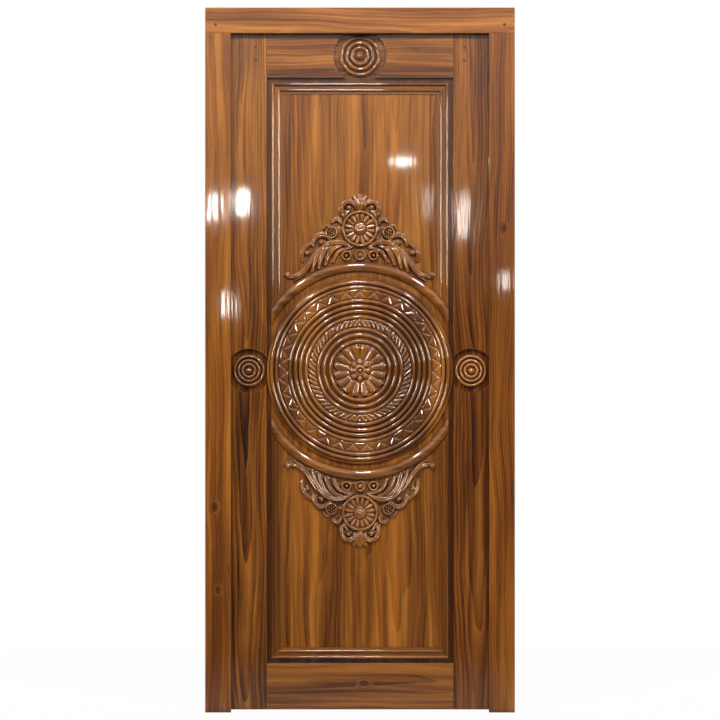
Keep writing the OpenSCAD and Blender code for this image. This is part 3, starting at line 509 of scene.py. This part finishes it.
def spun_relief(name, radii, steps, centre, height, reach, strength, material, node):
    """A round relief: a line of radii is spun to a disc, lifted to its heights, and closed behind."""
    bm, hollow_layer, ridge_layer = marked_bmesh()
    line = [bm.verts.new((r, 0, 0)) for r in radii]
    edges = [bm.edges.new(pair) for pair in zip(line, line[1:])]
    bmesh.ops.spin(bm, geom=line + edges, cent=(0, 0, 0), axis=(0, 1, 0), angle=2 * math.pi, steps=steps,
                   use_merge=True)
    bmesh.ops.remove_doubles(bm, verts=bm.verts, dist=MERGE)
    places = np.array([(v.co.x, v.co.z) for v in bm.verts])
    x, z = places[:, 0], places[:, 1]
    hollow, ridge = carve_marks(height, x, z, reach, strength)
    for vert, h, low, high in zip(bm.verts, height(x, z), hollow, ridge):
        vert.co.y = BOARD_FACE - h
        vert[hollow_layer], vert[ridge_layer] = low, high
    rim = [e for e in bm.edges if e.is_boundary]
    wall = bmesh.ops.extrude_edge_only(bm, edges=rim)["geom"]
    for vert in (g for g in wall if isinstance(g, bmesh.types.BMVert)):
        vert.co.y = BOARD_FACE + SUNK
    bmesh.ops.contextual_create(bm, geom=[e for e in bm.edges if e.is_boundary])
    bmesh.ops.translate(bm, verts=bm.verts, vec=(centre[0], 0, centre[1]))
    bmesh.ops.scale(bm, verts=bm.verts, vec=(MM, MM, MM))
    keep_piece(name, bm, material, node)


def round_radii(rounds, edge, pitch, fine=8):
    """Radii from 0 to the edge: close where a round turns, and no more than a pitch apart elsewhere."""
    found = [0.0, edge]
    for at, size in rounds:
        found += [at + size * math.cos(math.pi * k / fine) for k in range(fine + 1)]
    found = sorted(r for r in found if 0 <= r <= edge)
    spaced = [found[0]]
    for r in found[1:]:
        gap = r - spaced[-1]
        if gap < LEAST_GAP:
            continue
        parts = max(1, math.ceil(gap / pitch))
        spaced += [spaced[-1] + gap * k / parts for k in range(1, parts + 1)]
    spaced[-1] = edge
    return spaced


print("relief helpers ready")

# %% [markdown]
# ## The medallion
# The middle of the door is a turned disc with nine raised rings. Between the rings the carver cut a wreath of
# slanting leaves, a zigzag band of little cushions, and a flower in the middle. A square grid would leave steps
# on the rings. So the disc starts as a line of radii, close together on each ring, and is spun as on a lathe;
# the carving then lifts its vertices.

# %% Rings, wreath and zigzag of the medallion
MEDALLION_R = 283.0
MEDALLION_RINGS = [MEDALLION_R * s for s in (0.318, 0.385, 0.449, 0.578, 0.640, 0.693, 0.753, 0.898, 0.951)]
RING_R = 6.0
GROUND_H, GROUND_RISE, GROUND_FALL = 7.0, 2.0, 0.7
WREATH_LEAVES, WREATH_H = 30, 5.4
WREATH_SLANT = math.tan(math.radians(38))
ZIGZAGS, ZIGZAG_SWING = 34, 0.8
ZIGZAG_LEAN = 0.68  # the groove runs aslant, so it lies nearer than along a radius
GROOVE_W, CUSHION_H = 3.0, 2.3


def medallion_ground(r):
    """The turned ground, which rises a little towards its rim and falls at the edge."""
    edge = MEDALLION_RINGS[-1]
    rise = GROUND_H - 1 + GROUND_RISE * r / edge
    fall = rise - (r - edge) / (MEDALLION_R - edge) * GROUND_H * GROUND_FALL
    return np.where(r < edge, rise, fall)


def band_between(first, last, r):
    """A band between two rings: its middle, half its width, and where each radius lies in it, from -1 to 1."""
    inner, outer = MEDALLION_RINGS[first] + RING_R, MEDALLION_RINGS[last] - RING_R
    middle, half = (inner + outer) / 2, (outer - inner) / 2
    return middle, half, (r - middle) / half


def kept_in_band(height, reach):
    """Heights that round off towards both rings of their band, and are 0 outside it."""
    return np.where(np.abs(reach) < 1, height * np.sqrt(np.clip(1 - reach ** 6, 0, 1)), 0)


def wreath_height(r, turn):
    """Slanting leaves on both sides, as a rope is laid, mirrored about the upright middle line."""
    middle, _, reach = band_between(2, 3, r)
    pitch = math.pi * middle / WREATH_LEAVES
    lay = (np.abs(turn) * middle + WREATH_SLANT * (r - middle)) / pitch
    across = 2 * (lay - np.floor(lay)) - 1
    width = np.sqrt(np.clip(1 - 0.75 * reach ** 4, 0.05, 1))
    leaf = np.sqrt(np.clip(1 - (across / width) ** 2, 0, 1))
    return kept_in_band(WREATH_H * leaf, reach)


def zigzag_height(r, turn):
    """Three-cornered cushions, parted by a groove that runs to and fro between the rings."""
    _, half, reach = band_between(6, 7, r)
    phase = turn / (2 * math.pi) * ZIGZAGS
    saw = 2 * np.abs(2 * (phase - np.floor(phase)) - 1) - 1
    groove = np.abs(reach - ZIGZAG_SWING * saw) * half * ZIGZAG_LEAN
    return kept_in_band(CUSHION_H * (1 - np.exp(-(groove / GROOVE_W) ** 2)), reach)


print("rings of the medallion, in mm:", [round(r, 1) for r in MEDALLION_RINGS])

# %% Flower and whole height of the medallion
PETALS, PETAL_FROM, PETAL_TO, PETAL_H = 16, 38.0, 79.0, 7.5
PETAL_FILL = 0.94  # how much of its share of the ring a petal fills
TIP_FROM, TIP_LENGTH = 0.68, 0.32
LOBES, LOBE_AT, LOBE_R = 8, 24.0, 9.2
HEART_R, HEART_H = 17.5, 12.5
EYE_AT, EYE_R = 11.9, 3.4
BUTTON_R = 6.5


def petal_ring(r, turn, count, start, end, rise):
    """A ring of petals, round at their outer ends."""
    phase = turn / (2 * math.pi) * count
    across = (2 * (phase - np.floor(phase)) - 1) / PETAL_FILL
    along = (r - start) / (end - start)
    tip = np.clip((along - TIP_FROM) / TIP_LENGTH, 0, 1)
    width = np.sqrt(np.clip(1 - tip ** 2, 1e-4, 1))
    body = np.sqrt(np.clip(1 - (across / width) ** 2, 0, 1))
    inside = (along > 0) & (along < 1)
    return np.where(inside, rise * body * (0.5 + 0.5 * np.clip(along * 1.5, 0, 1)), 0)


def medallion_height(x, z):
    """The whole relief of the medallion."""
    r, turn = np.hypot(x, z), np.arctan2(x, z)
    ground = medallion_ground(r)
    h = np.maximum(ground + wreath_height(r, turn), ground + zigzag_height(r, turn))
    for at in MEDALLION_RINGS:
        h = np.maximum(h, GROUND_H + round_top(r - at, RING_R))
    h = np.maximum(h, ground - 1 + petal_ring(r, turn, PETALS, PETAL_FROM, PETAL_TO, PETAL_H))
    for k in range(LOBES):
        a = 2 * math.pi * k / LOBES
        away = np.hypot(x - LOBE_AT * math.sin(a), z - LOBE_AT * math.cos(a))
        h = np.where(away < LOBE_R, np.maximum(h, GROUND_H + round_top(away, LOBE_R)), h)
    h = np.where(r < HEART_R, np.maximum(h, HEART_H), h)
    h = np.where(np.abs(r - EYE_AT) < EYE_R, np.maximum(h, HEART_H + round_top(r - EYE_AT, EYE_R)), h)
    return np.where(r < BUTTON_R, np.maximum(h, HEART_H + round_top(r, BUTTON_R)), h)


print("petals of the flower:", PETALS, "and lobes round its heart:", LOBES)

# %% Spin the medallion
CARVED = dict(light=srgb(170, 107, 40), middle=srgb(129, 74, 22), dark=srgb(94, 49, 12), carved=True, half=CALM)
MEDALLION_PITCH, MEDALLION_STEPS = 2.4, 624
MEDALLION_REACH, MEDALLION_MARKS = 4.0, 2.2
medallion_wood = varnished_wood("medallion_wood", **CARVED, heart=(0.02, 0.08), ring=0.012, shift=9.3)
medallion_rounds = [(at, RING_R) for at in MEDALLION_RINGS] + [(EYE_AT, EYE_R), (0, BUTTON_R)]
medallion_radii = round_radii(medallion_rounds, MEDALLION_R, MEDALLION_PITCH)
print("radii of the medallion:", len(medallion_radii))
spun_relief("medallion_carving", medallion_radii, MEDALLION_STEPS, (0, FIELD_Z), medallion_height,
            MEDALLION_REACH, MEDALLION_MARKS, medallion_wood, "medallion")

# %% [markdown]
# ## The rosettes
# Three small turned rosettes sit in sunk rounds: one in the top rail and one in each stile. They could be lifted
# from a grid, but they are plain turned work with no cuts across the rings. So a spun disc with three stepped
# rings and a button is all they need.

# %% Turn the rosettes
ROSETTE_RINGS = (0.88, 0.62, 0.38)
ROSETTE_BEAD, ROSETTE_BUTTON = 0.09, 0.2
ROSETTE_RIM_H, ROSETTE_STEP = 6.2, 2.0
RIM_DROP, STEP_DROP = 4, 1.5
ROSETTE_PITCH, ROSETTE_FINE, ROSETTE_STEPS = 1.5, 12, 192
ROSETTE_REACH, ROSETTE_MARKS = 3.0, 3.0
ROSETTE_PLACES = {"top_rosette": (0, 1995.5, 64.0), "left_rosette": (-338, FIELD_Z, 50.0),
                  "right_rosette": (338, FIELD_Z, 50.0)}


def rosette_height(radius):
    """The height function of a rosette of that radius."""
    bead, button = ROSETTE_BEAD * radius, ROSETTE_BUTTON * radius

    def height(x, z):
        r = np.hypot(x, z)
        h = np.full_like(r, ROSETTE_RIM_H - RIM_DROP)
        for k, share in enumerate(ROSETTE_RINGS):
            step = ROSETTE_RIM_H + k * ROSETTE_STEP
            at = share * radius
            h = np.where(r <= at + bead, np.maximum(h, step - STEP_DROP), h)
            h = np.maximum(h, np.where(np.abs(r - at) < bead, step + round_top(r - at, bead), h))
        top = ROSETTE_RIM_H + ROSETTE_STEP + round_top(r, button)
        return np.where(r < button, np.maximum(h, top), h)

    return height


rosette_wood = varnished_wood("rosette_wood", **CARVED, heart=(0.04, 0.03), ring=0.008, shift=3.8)
for name, (x, z, radius) in ROSETTE_PLACES.items():
    bead = ROSETTE_BEAD * radius
    rounds = [(share * radius, bead) for share in ROSETTE_RINGS] + [(0, ROSETTE_BUTTON * radius)]
    edge = (ROSETTE_RINGS[0] + ROSETTE_BEAD) * radius
    spun_relief(name + "_turning", round_radii(rounds, edge, ROSETTE_PITCH, ROSETTE_FINE), ROSETTE_STEPS, (x, z),
                rosette_height(radius), ROSETTE_REACH, ROSETTE_MARKS, rosette_wood, name)

# %% [markdown]
# ## The crests
# Over the upper arch stands a carved crest, and its mirror image hangs under the lower one. It is built of
# strokes: every leaf is a curve with a width that swells in its middle, a rounded section and a vein cut along
# it. Knobs, volutes, two small flowers and a petalled roundel join them. Bent tubes could stand for the leaves,
# but they would cross with hard seams, and heights run into one another as leaves cut from one board do. The
# strokes are drawn once for the right half, and a place on the left reads the same height as its mirror place.

# %% Strokes of the crest
CREST_H = 13.0
ARCH_OUT = 331.0
BELOW = -4.0
CREST_LEAVES = [  # four points of a curve, half its width at its start and end, its share of the height
    ((24, 178), (46, 194), (64, 168), (53, 143), 8, 9, 1.0),
    ((13, 164), (16, 178), (22, 186), (32, 187), 6, 9, 1.0),
    ((5, 157), (6, 175), (9, 190), (17, 198), 6, 9, 1.05),
    ((34, 155), (40, 152), (45, 145), (48, 136), 6, 7, 0.8),
    ((58, 118), (62, 133), (76, 135), (84, 122), 8, 8, 0.95),
    ((92, 106), (98, 115), (107, 111), (109, 101), 6, 6, 0.8),
    ((88, 64), (104, 92), (140, 90), (143, 52), 9, 9.5, 1.0),
    ((143, 60), (160, 54), (182, 36), (176, 4), 8, 8.5, 0.9),
    ((26, 46), (50, 64), (88, 66), (112, 46), 8, 11, 1.1),
    ((104, 52), (124, 38), (138, 4), (146, -28), 11, 8, 0.95),
    ((52, 38), (66, 37), (77, 20), (81, 0), 6.5, 7.5, 0.85),
    ((60, 50), (84, 46), (98, 22), (105, -6), 9.5, 9.5, 1.0),
    ((80, 55), (106, 44), (119, 18), (126, -17), 10, 9.5, 0.95),
    ((126, 36), (154, 10), (158, -42), (214, -46), 10, 9, 1.0),
    ((136, 24), (150, -6), (168, -42), (200, -56), 8, 5, 0.7),
    ((26, 46), (34, 40), (48, 43), (58, 32), 6, 6, 0.85),
    ((0, 155), (0, 170), (0, 190), (0, 197), 8, 15, 1.15),
]
VEIN_DEPTH, VEIN_WIDTH = 0.22, 0.16
OUTER_FALL = 2.2  # how steeply a rounded section falls outside its width


def on_curve(points, t):
    """The place on a curve of four points at a share of its length."""
    a, b, c, d = (np.array(p, float) for p in points)
    t = np.asarray(t)[..., None]
    return (1 - t) ** 3 * a + 3 * t * (1 - t) ** 2 * b + 3 * t * t * (1 - t) * c + t ** 3 * d


def nearest_on_curve(points, x, y, parts=26):
    """The distance of each place from a curve, and where along it the nearest point lies."""
    t = np.linspace(0, 1, parts + 1)
    line = on_curve(points, t)
    best = np.full(x.shape, 1e9)
    where = np.zeros(x.shape)
    for k in range(parts):
        a, run = line[k], line[k + 1] - line[k]
        share = np.clip(((x - a[0]) * run[0] + (y - a[1]) * run[1]) / (run @ run), 0, 1)
        away = np.hypot(x - a[0] - share * run[0], y - a[1] - share * run[1])
        closer = away < best
        best = np.where(closer, away, best)
        where = np.where(closer, t[k] + share / parts, where)
    return best, where


def dome(u):
    """A rounded section over the width -1 to 1, falling steeply outside it."""
    return np.where(u < 1, np.sqrt(np.clip(1 - u * u, 0, 1)), -OUTER_FALL * (u - 1))


def leaf_height(leaf, x, y):
    """The height of one leaf, with a vein along its middle."""
    *points, start, end, share = leaf
    away, t = nearest_on_curve(points, x, y)
    swell = 0.7 + 0.3 * np.sin(math.pi * t)
    u = away / ((start + (end - start) * t) * swell)
    vein = VEIN_DEPTH * np.exp(-(u / VEIN_WIDTH) ** 2)
    return CREST_H * share * swell * (dome(u) - np.where(u < 1, vein, 0))


print("strokes of one half of a crest:", len(CREST_LEAVES))

# %% Flowers, boss and volutes of the crest
ROUNDEL_Y, ROUNDEL_R, ROUNDEL_BEAD, ROUNDEL_FLOOR = 102, 51, 5.6, 0.35
ROUNDEL_PETALS, PETALS_IN, PETALS_OUT, ROUNDEL_PETAL_H = 16, 22, 46, 6.5
BUD_R, BUD_FOOT, BUD_SHARE = 19, 5, 0.75
SWIRL_DEPTH, SWIRL_TURN, SWIRL_EYE = 2.2, 0.45, 5
VOLUTE, VOLUTE_R, VOLUTE_BEAD = (41, 20), 12.5, 4.2
BOSS_Y, BOSS_R, BOSS_BEAD, BOSS_EYE = 21, 14, 3.6, 9
FLOWER, FLOWER_R, FLOWER_BEAD, FLOWER_EYE = (87, 90), 16, 3.8, 4.5
FLOWER_PETALS, FLOWER_PETAL_R = 6, 4.6


def disc_height(away, radius, share):
    """A flat disc, by its share of the crest's height."""
    return np.where(away < radius, CREST_H * share, BELOW)


def bead_height(away, radius, bead, share):
    """A ring with a rounded section, by its share of the crest's height."""
    return CREST_H * share * dome(np.abs(away - radius) / bead)


def knob_height(x, y, at, radius, share=1):
    """A round knob, by its share of the crest's height."""
    return CREST_H * share * dome(np.hypot(x - at[0], y - at[1]) / radius)


def roundel_height(x, y):
    """A ring with sixteen petals and a bud with a turning cut in it."""
    r, turn = np.hypot(x, y - ROUNDEL_Y), np.arctan2(x, y - ROUNDEL_Y)
    h = disc_height(r, ROUNDEL_R, ROUNDEL_FLOOR)
    h = np.maximum(h, bead_height(r, ROUNDEL_R, ROUNDEL_BEAD, 1.1))
    petals = petal_ring(r, turn, ROUNDEL_PETALS, PETALS_IN, PETALS_OUT, ROUNDEL_PETAL_H)
    h = np.where(r < PETALS_OUT, np.maximum(h, CREST_H * ROUNDEL_FLOOR + petals), h)
    swirl = SWIRL_DEPTH * (0.5 + 0.5 * np.cos(2 * turn + r * SWIRL_TURN)) * np.clip(r / SWIRL_EYE, 0, 1)
    return np.where(r < BUD_R, np.maximum(h, BUD_FOOT + CREST_H * BUD_SHARE * dome(r / BUD_R) - swirl), h)


def small_flower_height(x, y):
    """Six round petals and an eye in a ring."""
    away = np.hypot(x - FLOWER[0], y - FLOWER[1])
    h = disc_height(away, FLOWER_R + 2, 0.35)
    h = np.maximum(h, bead_height(away, FLOWER_R, FLOWER_BEAD, 0.85))
    for k in range(FLOWER_PETALS):
        a = 2 * math.pi * (k + 0.5) / FLOWER_PETALS
        at = (FLOWER[0] + FLOWER_R / 2 * math.cos(a), FLOWER[1] + FLOWER_R / 2 * math.sin(a))
        h = np.maximum(h, knob_height(x, y, at, FLOWER_PETAL_R, 0.8))
    return np.maximum(h, knob_height(x, y, FLOWER, FLOWER_EYE, 0.95))


def boss_height(x, y):
    """A round boss in a ring, low in the middle of the crest."""
    away = np.hypot(x, y - BOSS_Y)
    h = disc_height(away, BOSS_R + 3, 0.45)
    h = np.maximum(h, bead_height(away, BOSS_R, BOSS_BEAD, 0.8))
    return np.maximum(h, knob_height(x, y, (0, BOSS_Y), BOSS_EYE, 0.95))


def volute_height(x, y):
    """The curled end of the lowest leaf."""
    return bead_height(np.hypot(x - VOLUTE[0], y - VOLUTE[1]), VOLUTE_R, VOLUTE_BEAD, 0.9)


print("roundel, two flowers, boss and two volutes described")

# %% Height of the whole crest
CREST_KNOBS = [(41, 20, 7), (118, 60, 8.5), (161, 28, 9), (220, -41, 10), (35, 166, 8.5)]  # place and radius
LEAF_MARGIN = 16  # a leaf's heights are worked out this far round its curve


def crest_height(x, y):
    """The whole crest. The origin is the top of the arch, y goes away from the arch."""
    x = np.abs(x)
    h = np.full(x.shape, BELOW)
    for leaf in CREST_LEAVES:
        corners = np.array(leaf[:4], float)
        low, high = corners.min(0) - LEAF_MARGIN, corners.max(0) + LEAF_MARGIN
        box = (x > low[0]) & (x < high[0]) & (y > low[1]) & (y < high[1])
        h[box] = np.maximum(h[box], leaf_height(leaf, x[box], y[box]))
    for kx, ky, radius in CREST_KNOBS:
        h = np.maximum(h, knob_height(x, y, (kx, ky), radius))
    for part in (volute_height, boss_height, small_flower_height, roundel_height):
        h = np.maximum(h, part(x, y))
    return h


bud_top = float(crest_height(np.array([0.0]), np.array([float(ROUNDEL_Y)]))[0])
print("crest at the middle of its roundel, in mm:", round(bud_top, 1))

# %% Lift the crests from a grid
CREST_PITCH = 1.15
CREST_X, CREST_Y = (-236.0, 236.0), (-70.0, 216.0)
CREST_TUCK = 1.5  # how far the crest reaches under its arch
CREST_GROUND = 1.6
CREST_CLOSING = 6  # gaps up to twice this many steps of the grid keep a low ground
TOUCHED, FILLED = 0.02, 0.98
CREST_REACH, CREST_MARKS = 3, 3.0


def blurred(field, reach):
    """A field of heights, averaged over a square of that many steps each way."""
    for axis in (0, 1):
        pad = [(reach, reach) if a == axis else (0, 0) for a in (0, 1)]
        summed = np.cumsum(np.pad(field, pad, mode="edge"), axis=axis)
        first = np.take(summed, range(2 * reach, summed.shape[axis]), axis=axis)
        start = np.take(summed, range(0, summed.shape[axis] - 2 * reach), axis=axis)
        field = (first - start) / (2 * reach)
    return field


def crest_field():
    """The crest's heights on a grid, with a low ground where the carving closes round it."""
    nx = round((CREST_X[1] - CREST_X[0]) / CREST_PITCH) + 1
    ny = round((CREST_Y[1] - CREST_Y[0]) / CREST_PITCH) + 1
    xs, ys = np.linspace(*CREST_X, nx), np.linspace(*CREST_Y, ny)
    x, y = np.meshgrid(xs, ys)
    h = crest_height(x, y)
    swollen = blurred((h > 0).astype(float), CREST_CLOSING) > TOUCHED
    closed = blurred(swollen.astype(float), CREST_CLOSING) > FILLED
    h = np.where(closed, np.maximum(h, CREST_GROUND), h)
    inside_arch = np.hypot(x, y + ARCH_OUT) < ARCH_OUT - CREST_TUCK
    h = np.where(inside_arch, BELOW, h)
    raised = np.clip(h, 0, None)
    lie = blurred(blurred(raised, CREST_REACH), CREST_REACH) - raised
    return xs, ys, h, np.clip(lie / CREST_MARKS, 0, 1), np.clip(-lie / CREST_MARKS, 0, 1)


def carve_crest(name, side, node, field, material):
    """A grid lifted to the crest's heights, cut to its outline, given a flat back, and set on its arch."""
    xs, ys, h, hollow, ridge = field
    bm, hollow_layer, ridge_layer = marked_bmesh()
    bmesh.ops.create_grid(bm, x_segments=len(xs) - 1, y_segments=len(ys) - 1, size=1)
    buried = set()
    for vert in bm.verts:
        i = round((vert.co.x + 1) / 2 * (len(xs) - 1))
        j = round((vert.co.y + 1) / 2 * (len(ys) - 1))
        up = h[j, i]
        vert[hollow_layer], vert[ridge_layer] = hollow[j, i], ridge[j, i]
        vert.co = (xs[i], BOARD_FACE - max(up, -SUNK), FIELD_Z + side * (ARCH_OUT + ys[j]))
        if up < -SUNK:
            buried.add(vert)
    bmesh.ops.delete(bm, geom=[f for f in bm.faces if all(v in buried for v in f.verts)], context="FACES")
    back = bmesh.ops.extrude_face_region(bm, geom=list(bm.faces), use_keep_orig=True)["geom"]
    for vert in (g for g in back if isinstance(g, bmesh.types.BMVert)):
        vert.co.y = BOARD_FACE + 2 * SUNK
    bmesh.ops.scale(bm, verts=bm.verts, vec=(MM, MM, MM))
    keep_piece(name, bm, material, node)


crest_wood = varnished_wood("crest_wood", **CARVED, heart=(0.03, 0.05), ring=0.01, shift=12.4)
field = crest_field()
print("grid of a crest:", len(field[0]), "by", len(field[1]))
carve_crest("upper_crest_carving", 1, "upper_crest", field, crest_wood)
carve_crest("lower_crest_carving", -1, "lower_crest", field, crest_wood)

# %% [markdown]
# ## Camera
# The door is seen straight from the front. A short lens close by would make its uprights lean and show the sides
# of its mouldings, so the camera stands far away with a long lens: uprights stay upright and the disc stays round.

# %% Place the camera
SEEN_M = 2.195  # what the picture's width takes in at the door
CAMERA_AWAY = 7.0
EYE_Z = 1.07
SENSOR_MM = 36.0
camera_data = bpy.data.cameras.new("camera")
camera_data.sensor_width = SENSOR_MM
camera_data.lens = SENSOR_MM * CAMERA_AWAY / SEEN_M
camera = placed("camera", camera_data)
camera.location = (0, -CAMERA_AWAY, EYE_Z)
camera.rotation_euler = (math.radians(90), 0, 0)
bpy.context.scene.camera = camera
bpy.context.scene.view_settings.view_transform = "Standard"
print("lens in mm:", round(camera_data.lens, 1))

# %% [markdown]
# ## Studio
# The door stands on a pale floor in front of white. So much white light would wash out the wood, so the white is
# only what the camera sees. The light on the wood comes from three lamps above and in front of it, as in a bright
# hall. Two more light the back, and two strips at the sides show in the varnish alone. The floor's mirror image
# fades away from the door, so that the varnish shows no hard edge of it.

# %% Floor and world
WHITE, DAYLIGHT = (1, 1, 1, 1), (1, 0.97, 0.93)
FLOOR_HALF, FLOOR_COLOUR = 1.6, (0.9, 0.9, 0.9, 1)
FLOOR_GLOW = 0.95  # how much of what the camera sees of the floor is plain white
SKY_LIGHT = 0.2

# where a mirror image starts and stops to change, by distance and by slope upwards, and its strengths there
FLOOR_MIRROR = (0.1, 1.5, 0.35, 0)
SKY_MIRROR = (0.02, 0.16, 0.02, 0.68)


def build_floor():
    """A pale floor, near white for the camera, with a shadow. Its mirror image fades away from the door."""
    bm = bmesh.new()
    bmesh.ops.create_grid(bm, x_segments=1, y_segments=1, size=FLOOR_HALF)
    mesh = bpy.data.meshes.new("floor")
    bm.to_mesh(mesh)
    bm.free()
    material, tree, coords = new_material("pale_floor")
    path = put(tree, "ShaderNodeLightPath")
    seen = maths(tree, "MAXIMUM", path.outputs["Is Camera Ray"], path.outputs["Is Transmission Ray"])
    away = put(tree, "ShaderNodeVectorMath", {0: coords}, operation="LENGTH").outputs["Value"]
    matt = put(tree, "ShaderNodeBsdfDiffuse", values={"Color": FLOOR_COLOUR})
    glow = put(tree, "ShaderNodeEmission", values={"Color": WHITE, "Strength": 1.0})
    both = put(tree, "ShaderNodeMixShader",
               {0: maths(tree, "MULTIPLY", seen, FLOOR_GLOW), 1: matt.outputs[0], 2: glow.outputs[0]})
    mirrored = put(tree, "ShaderNodeEmission", {"Strength": spread(tree, away, *FLOOR_MIRROR)}, {"Color": WHITE})
    last = put(tree, "ShaderNodeMixShader",
               {0: path.outputs["Is Glossy Ray"], 1: both.outputs[0], 2: mirrored.outputs[0]})
    put(tree, "ShaderNodeOutputMaterial", {"Surface": last.outputs[0]})
    mesh.materials.append(material)
    floor = placed("floor", mesh)


def build_world():
    """White for the camera, a soft grey for light, and a glow that fades downwards for reflections."""
    world = bpy.data.worlds.new("studio")
    bpy.context.scene.world = world
    world.use_nodes = True
    tree = world.node_tree
    tree.nodes.clear()
    path = put(tree, "ShaderNodeLightPath")
    direction = put(tree, "ShaderNodeTexCoord").outputs["Generated"]
    up = put(tree, "ShaderNodeSeparateXYZ", {"Vector": direction}).outputs["Z"]
    soft = put(tree, "ShaderNodeBackground", values={"Color": (*DAYLIGHT, 1), "Strength": SKY_LIGHT})
    white = put(tree, "ShaderNodeBackground", values={"Color": WHITE, "Strength": 1.0})
    fading = put(tree, "ShaderNodeBackground", {"Strength": spread(tree, up, *SKY_MIRROR)}, {"Color": WHITE})
    mirrored = maths(tree, "MAXIMUM", path.outputs["Is Glossy Ray"], path.outputs["Is Transmission Ray"])
    first = put(tree, "ShaderNodeMixShader", {0: mirrored, 1: soft.outputs[0], 2: fading.outputs[0]})
    last = put(tree, "ShaderNodeMixShader",
               {0: path.outputs["Is Camera Ray"], 1: first.outputs[0], 2: white.outputs[0]})
    put(tree, "ShaderNodeOutputWorld", {"Surface": last.outputs[0]})


build_floor()
build_world()
print("floor and world made")

# %% Lamps
STRIP_COLOUR = (1, 0.88, 0.74)
DOOR_MIDDLE, DOOR_TOP = (0, 0, 1.1), (0, 0, 2.2)
CEILING_SIZE, BACK_SIZE, STRIP_SIZE = (0.4, 0.3), (1.0, 1.0), (0.3, 0.9)
CEILING_WATTS, BACK_WATTS = 48, 60


def lamp(name, place, target, size, watts, shape="RECTANGLE", diffuse=True):
    """A soft lamp that looks at a place. One that is not diffuse only shows in the varnish."""
    data = bpy.data.lights.new(name, "AREA")
    data.shape = shape
    data.size, data.size_y = size
    data.energy = watts
    data.color = DAYLIGHT if diffuse else STRIP_COLOUR
    made = placed(name, data)
    made.location = place
    aim = Vector([t - p for t, p in zip(target, place)])
    made.rotation_euler = aim.to_track_quat("-Z", "Y").to_euler()
    made.visible_camera = False
    made.visible_diffuse = diffuse


for name, x in (("left_ceiling", -1.7), ("middle_ceiling", -0.1), ("right_ceiling", 1.7)):
    lamp(name, (x, -2.4, 3.6), DOOR_TOP, CEILING_SIZE, CEILING_WATTS)
for name, x in (("left_back", -2.6), ("right_back", 2.6)):
    lamp(name, (x, 2.4, 2.6), DOOR_MIDDLE, BACK_SIZE, BACK_WATTS)
for name, place, watts in (("left_strip", (-2.8, -3.2, 1.9), 76), ("right_strip", (2.8, -3.4, 1.9), 84)):
    lamp(name, place, DOOR_MIDDLE, STRIP_SIZE, watts, diffuse=False)

# %% [markdown]
# ## Highlights
# Varnish shows the windows of the hall as small bright patches. They could be painted on, but then they would stay
# where they are when the door swings. A flat front is a mirror, so a window can be placed from the patch that it
# makes: the sight line from the camera to the patch goes on, thrown back, to the window. The windows are too small
# to change the light on the wood.

# %% Windows that the varnish mirrors
WINDOW_GLOW = 60.0
WINDOW_PATCHES = {  # place on the door, width and height in mm, distance in m, share of the glow
    "jamb_window": (-444, 1534, 26, 80, 5, 0.8), "stile_window": (-358, 1550, 36, 76, 3.5, 0.8),
    "low_window": (-400, 1240, 14, 80, 3, 0.7), "panel_window": (131, 1675, 72, 22, 3, 0.5),
    "panel_strip": (205, 1550, 14, 110, 5, 0.15), "right_window": (312, 1510, 14, 150, 5, 0.5),
    "right_jamb_window": (440, 1310, 8, 52, 3, 1.0),
}


def window(name, x, z, width, height, away, share):
    """A small bright window, set where a flat front throws it back to the camera at that place of the door."""
    reach = 1 + away / CAMERA_AWAY
    place = (x * MM * reach, -away, EYE_Z + (z * MM - EYE_Z) * reach)
    size = (width * MM * reach, height * MM * reach)
    watts = share * WINDOW_GLOW * math.pi**2 / 4 * size[0] * size[1]  # an ellipse's area, times pi for its glow
    lamp(name, place, (place[0], 0, place[2]), size, watts, "ELLIPSE")


for name, patch in WINDOW_PATCHES.items():
    window(name, *patch)
print("windows:", len(WINDOW_PATCHES))
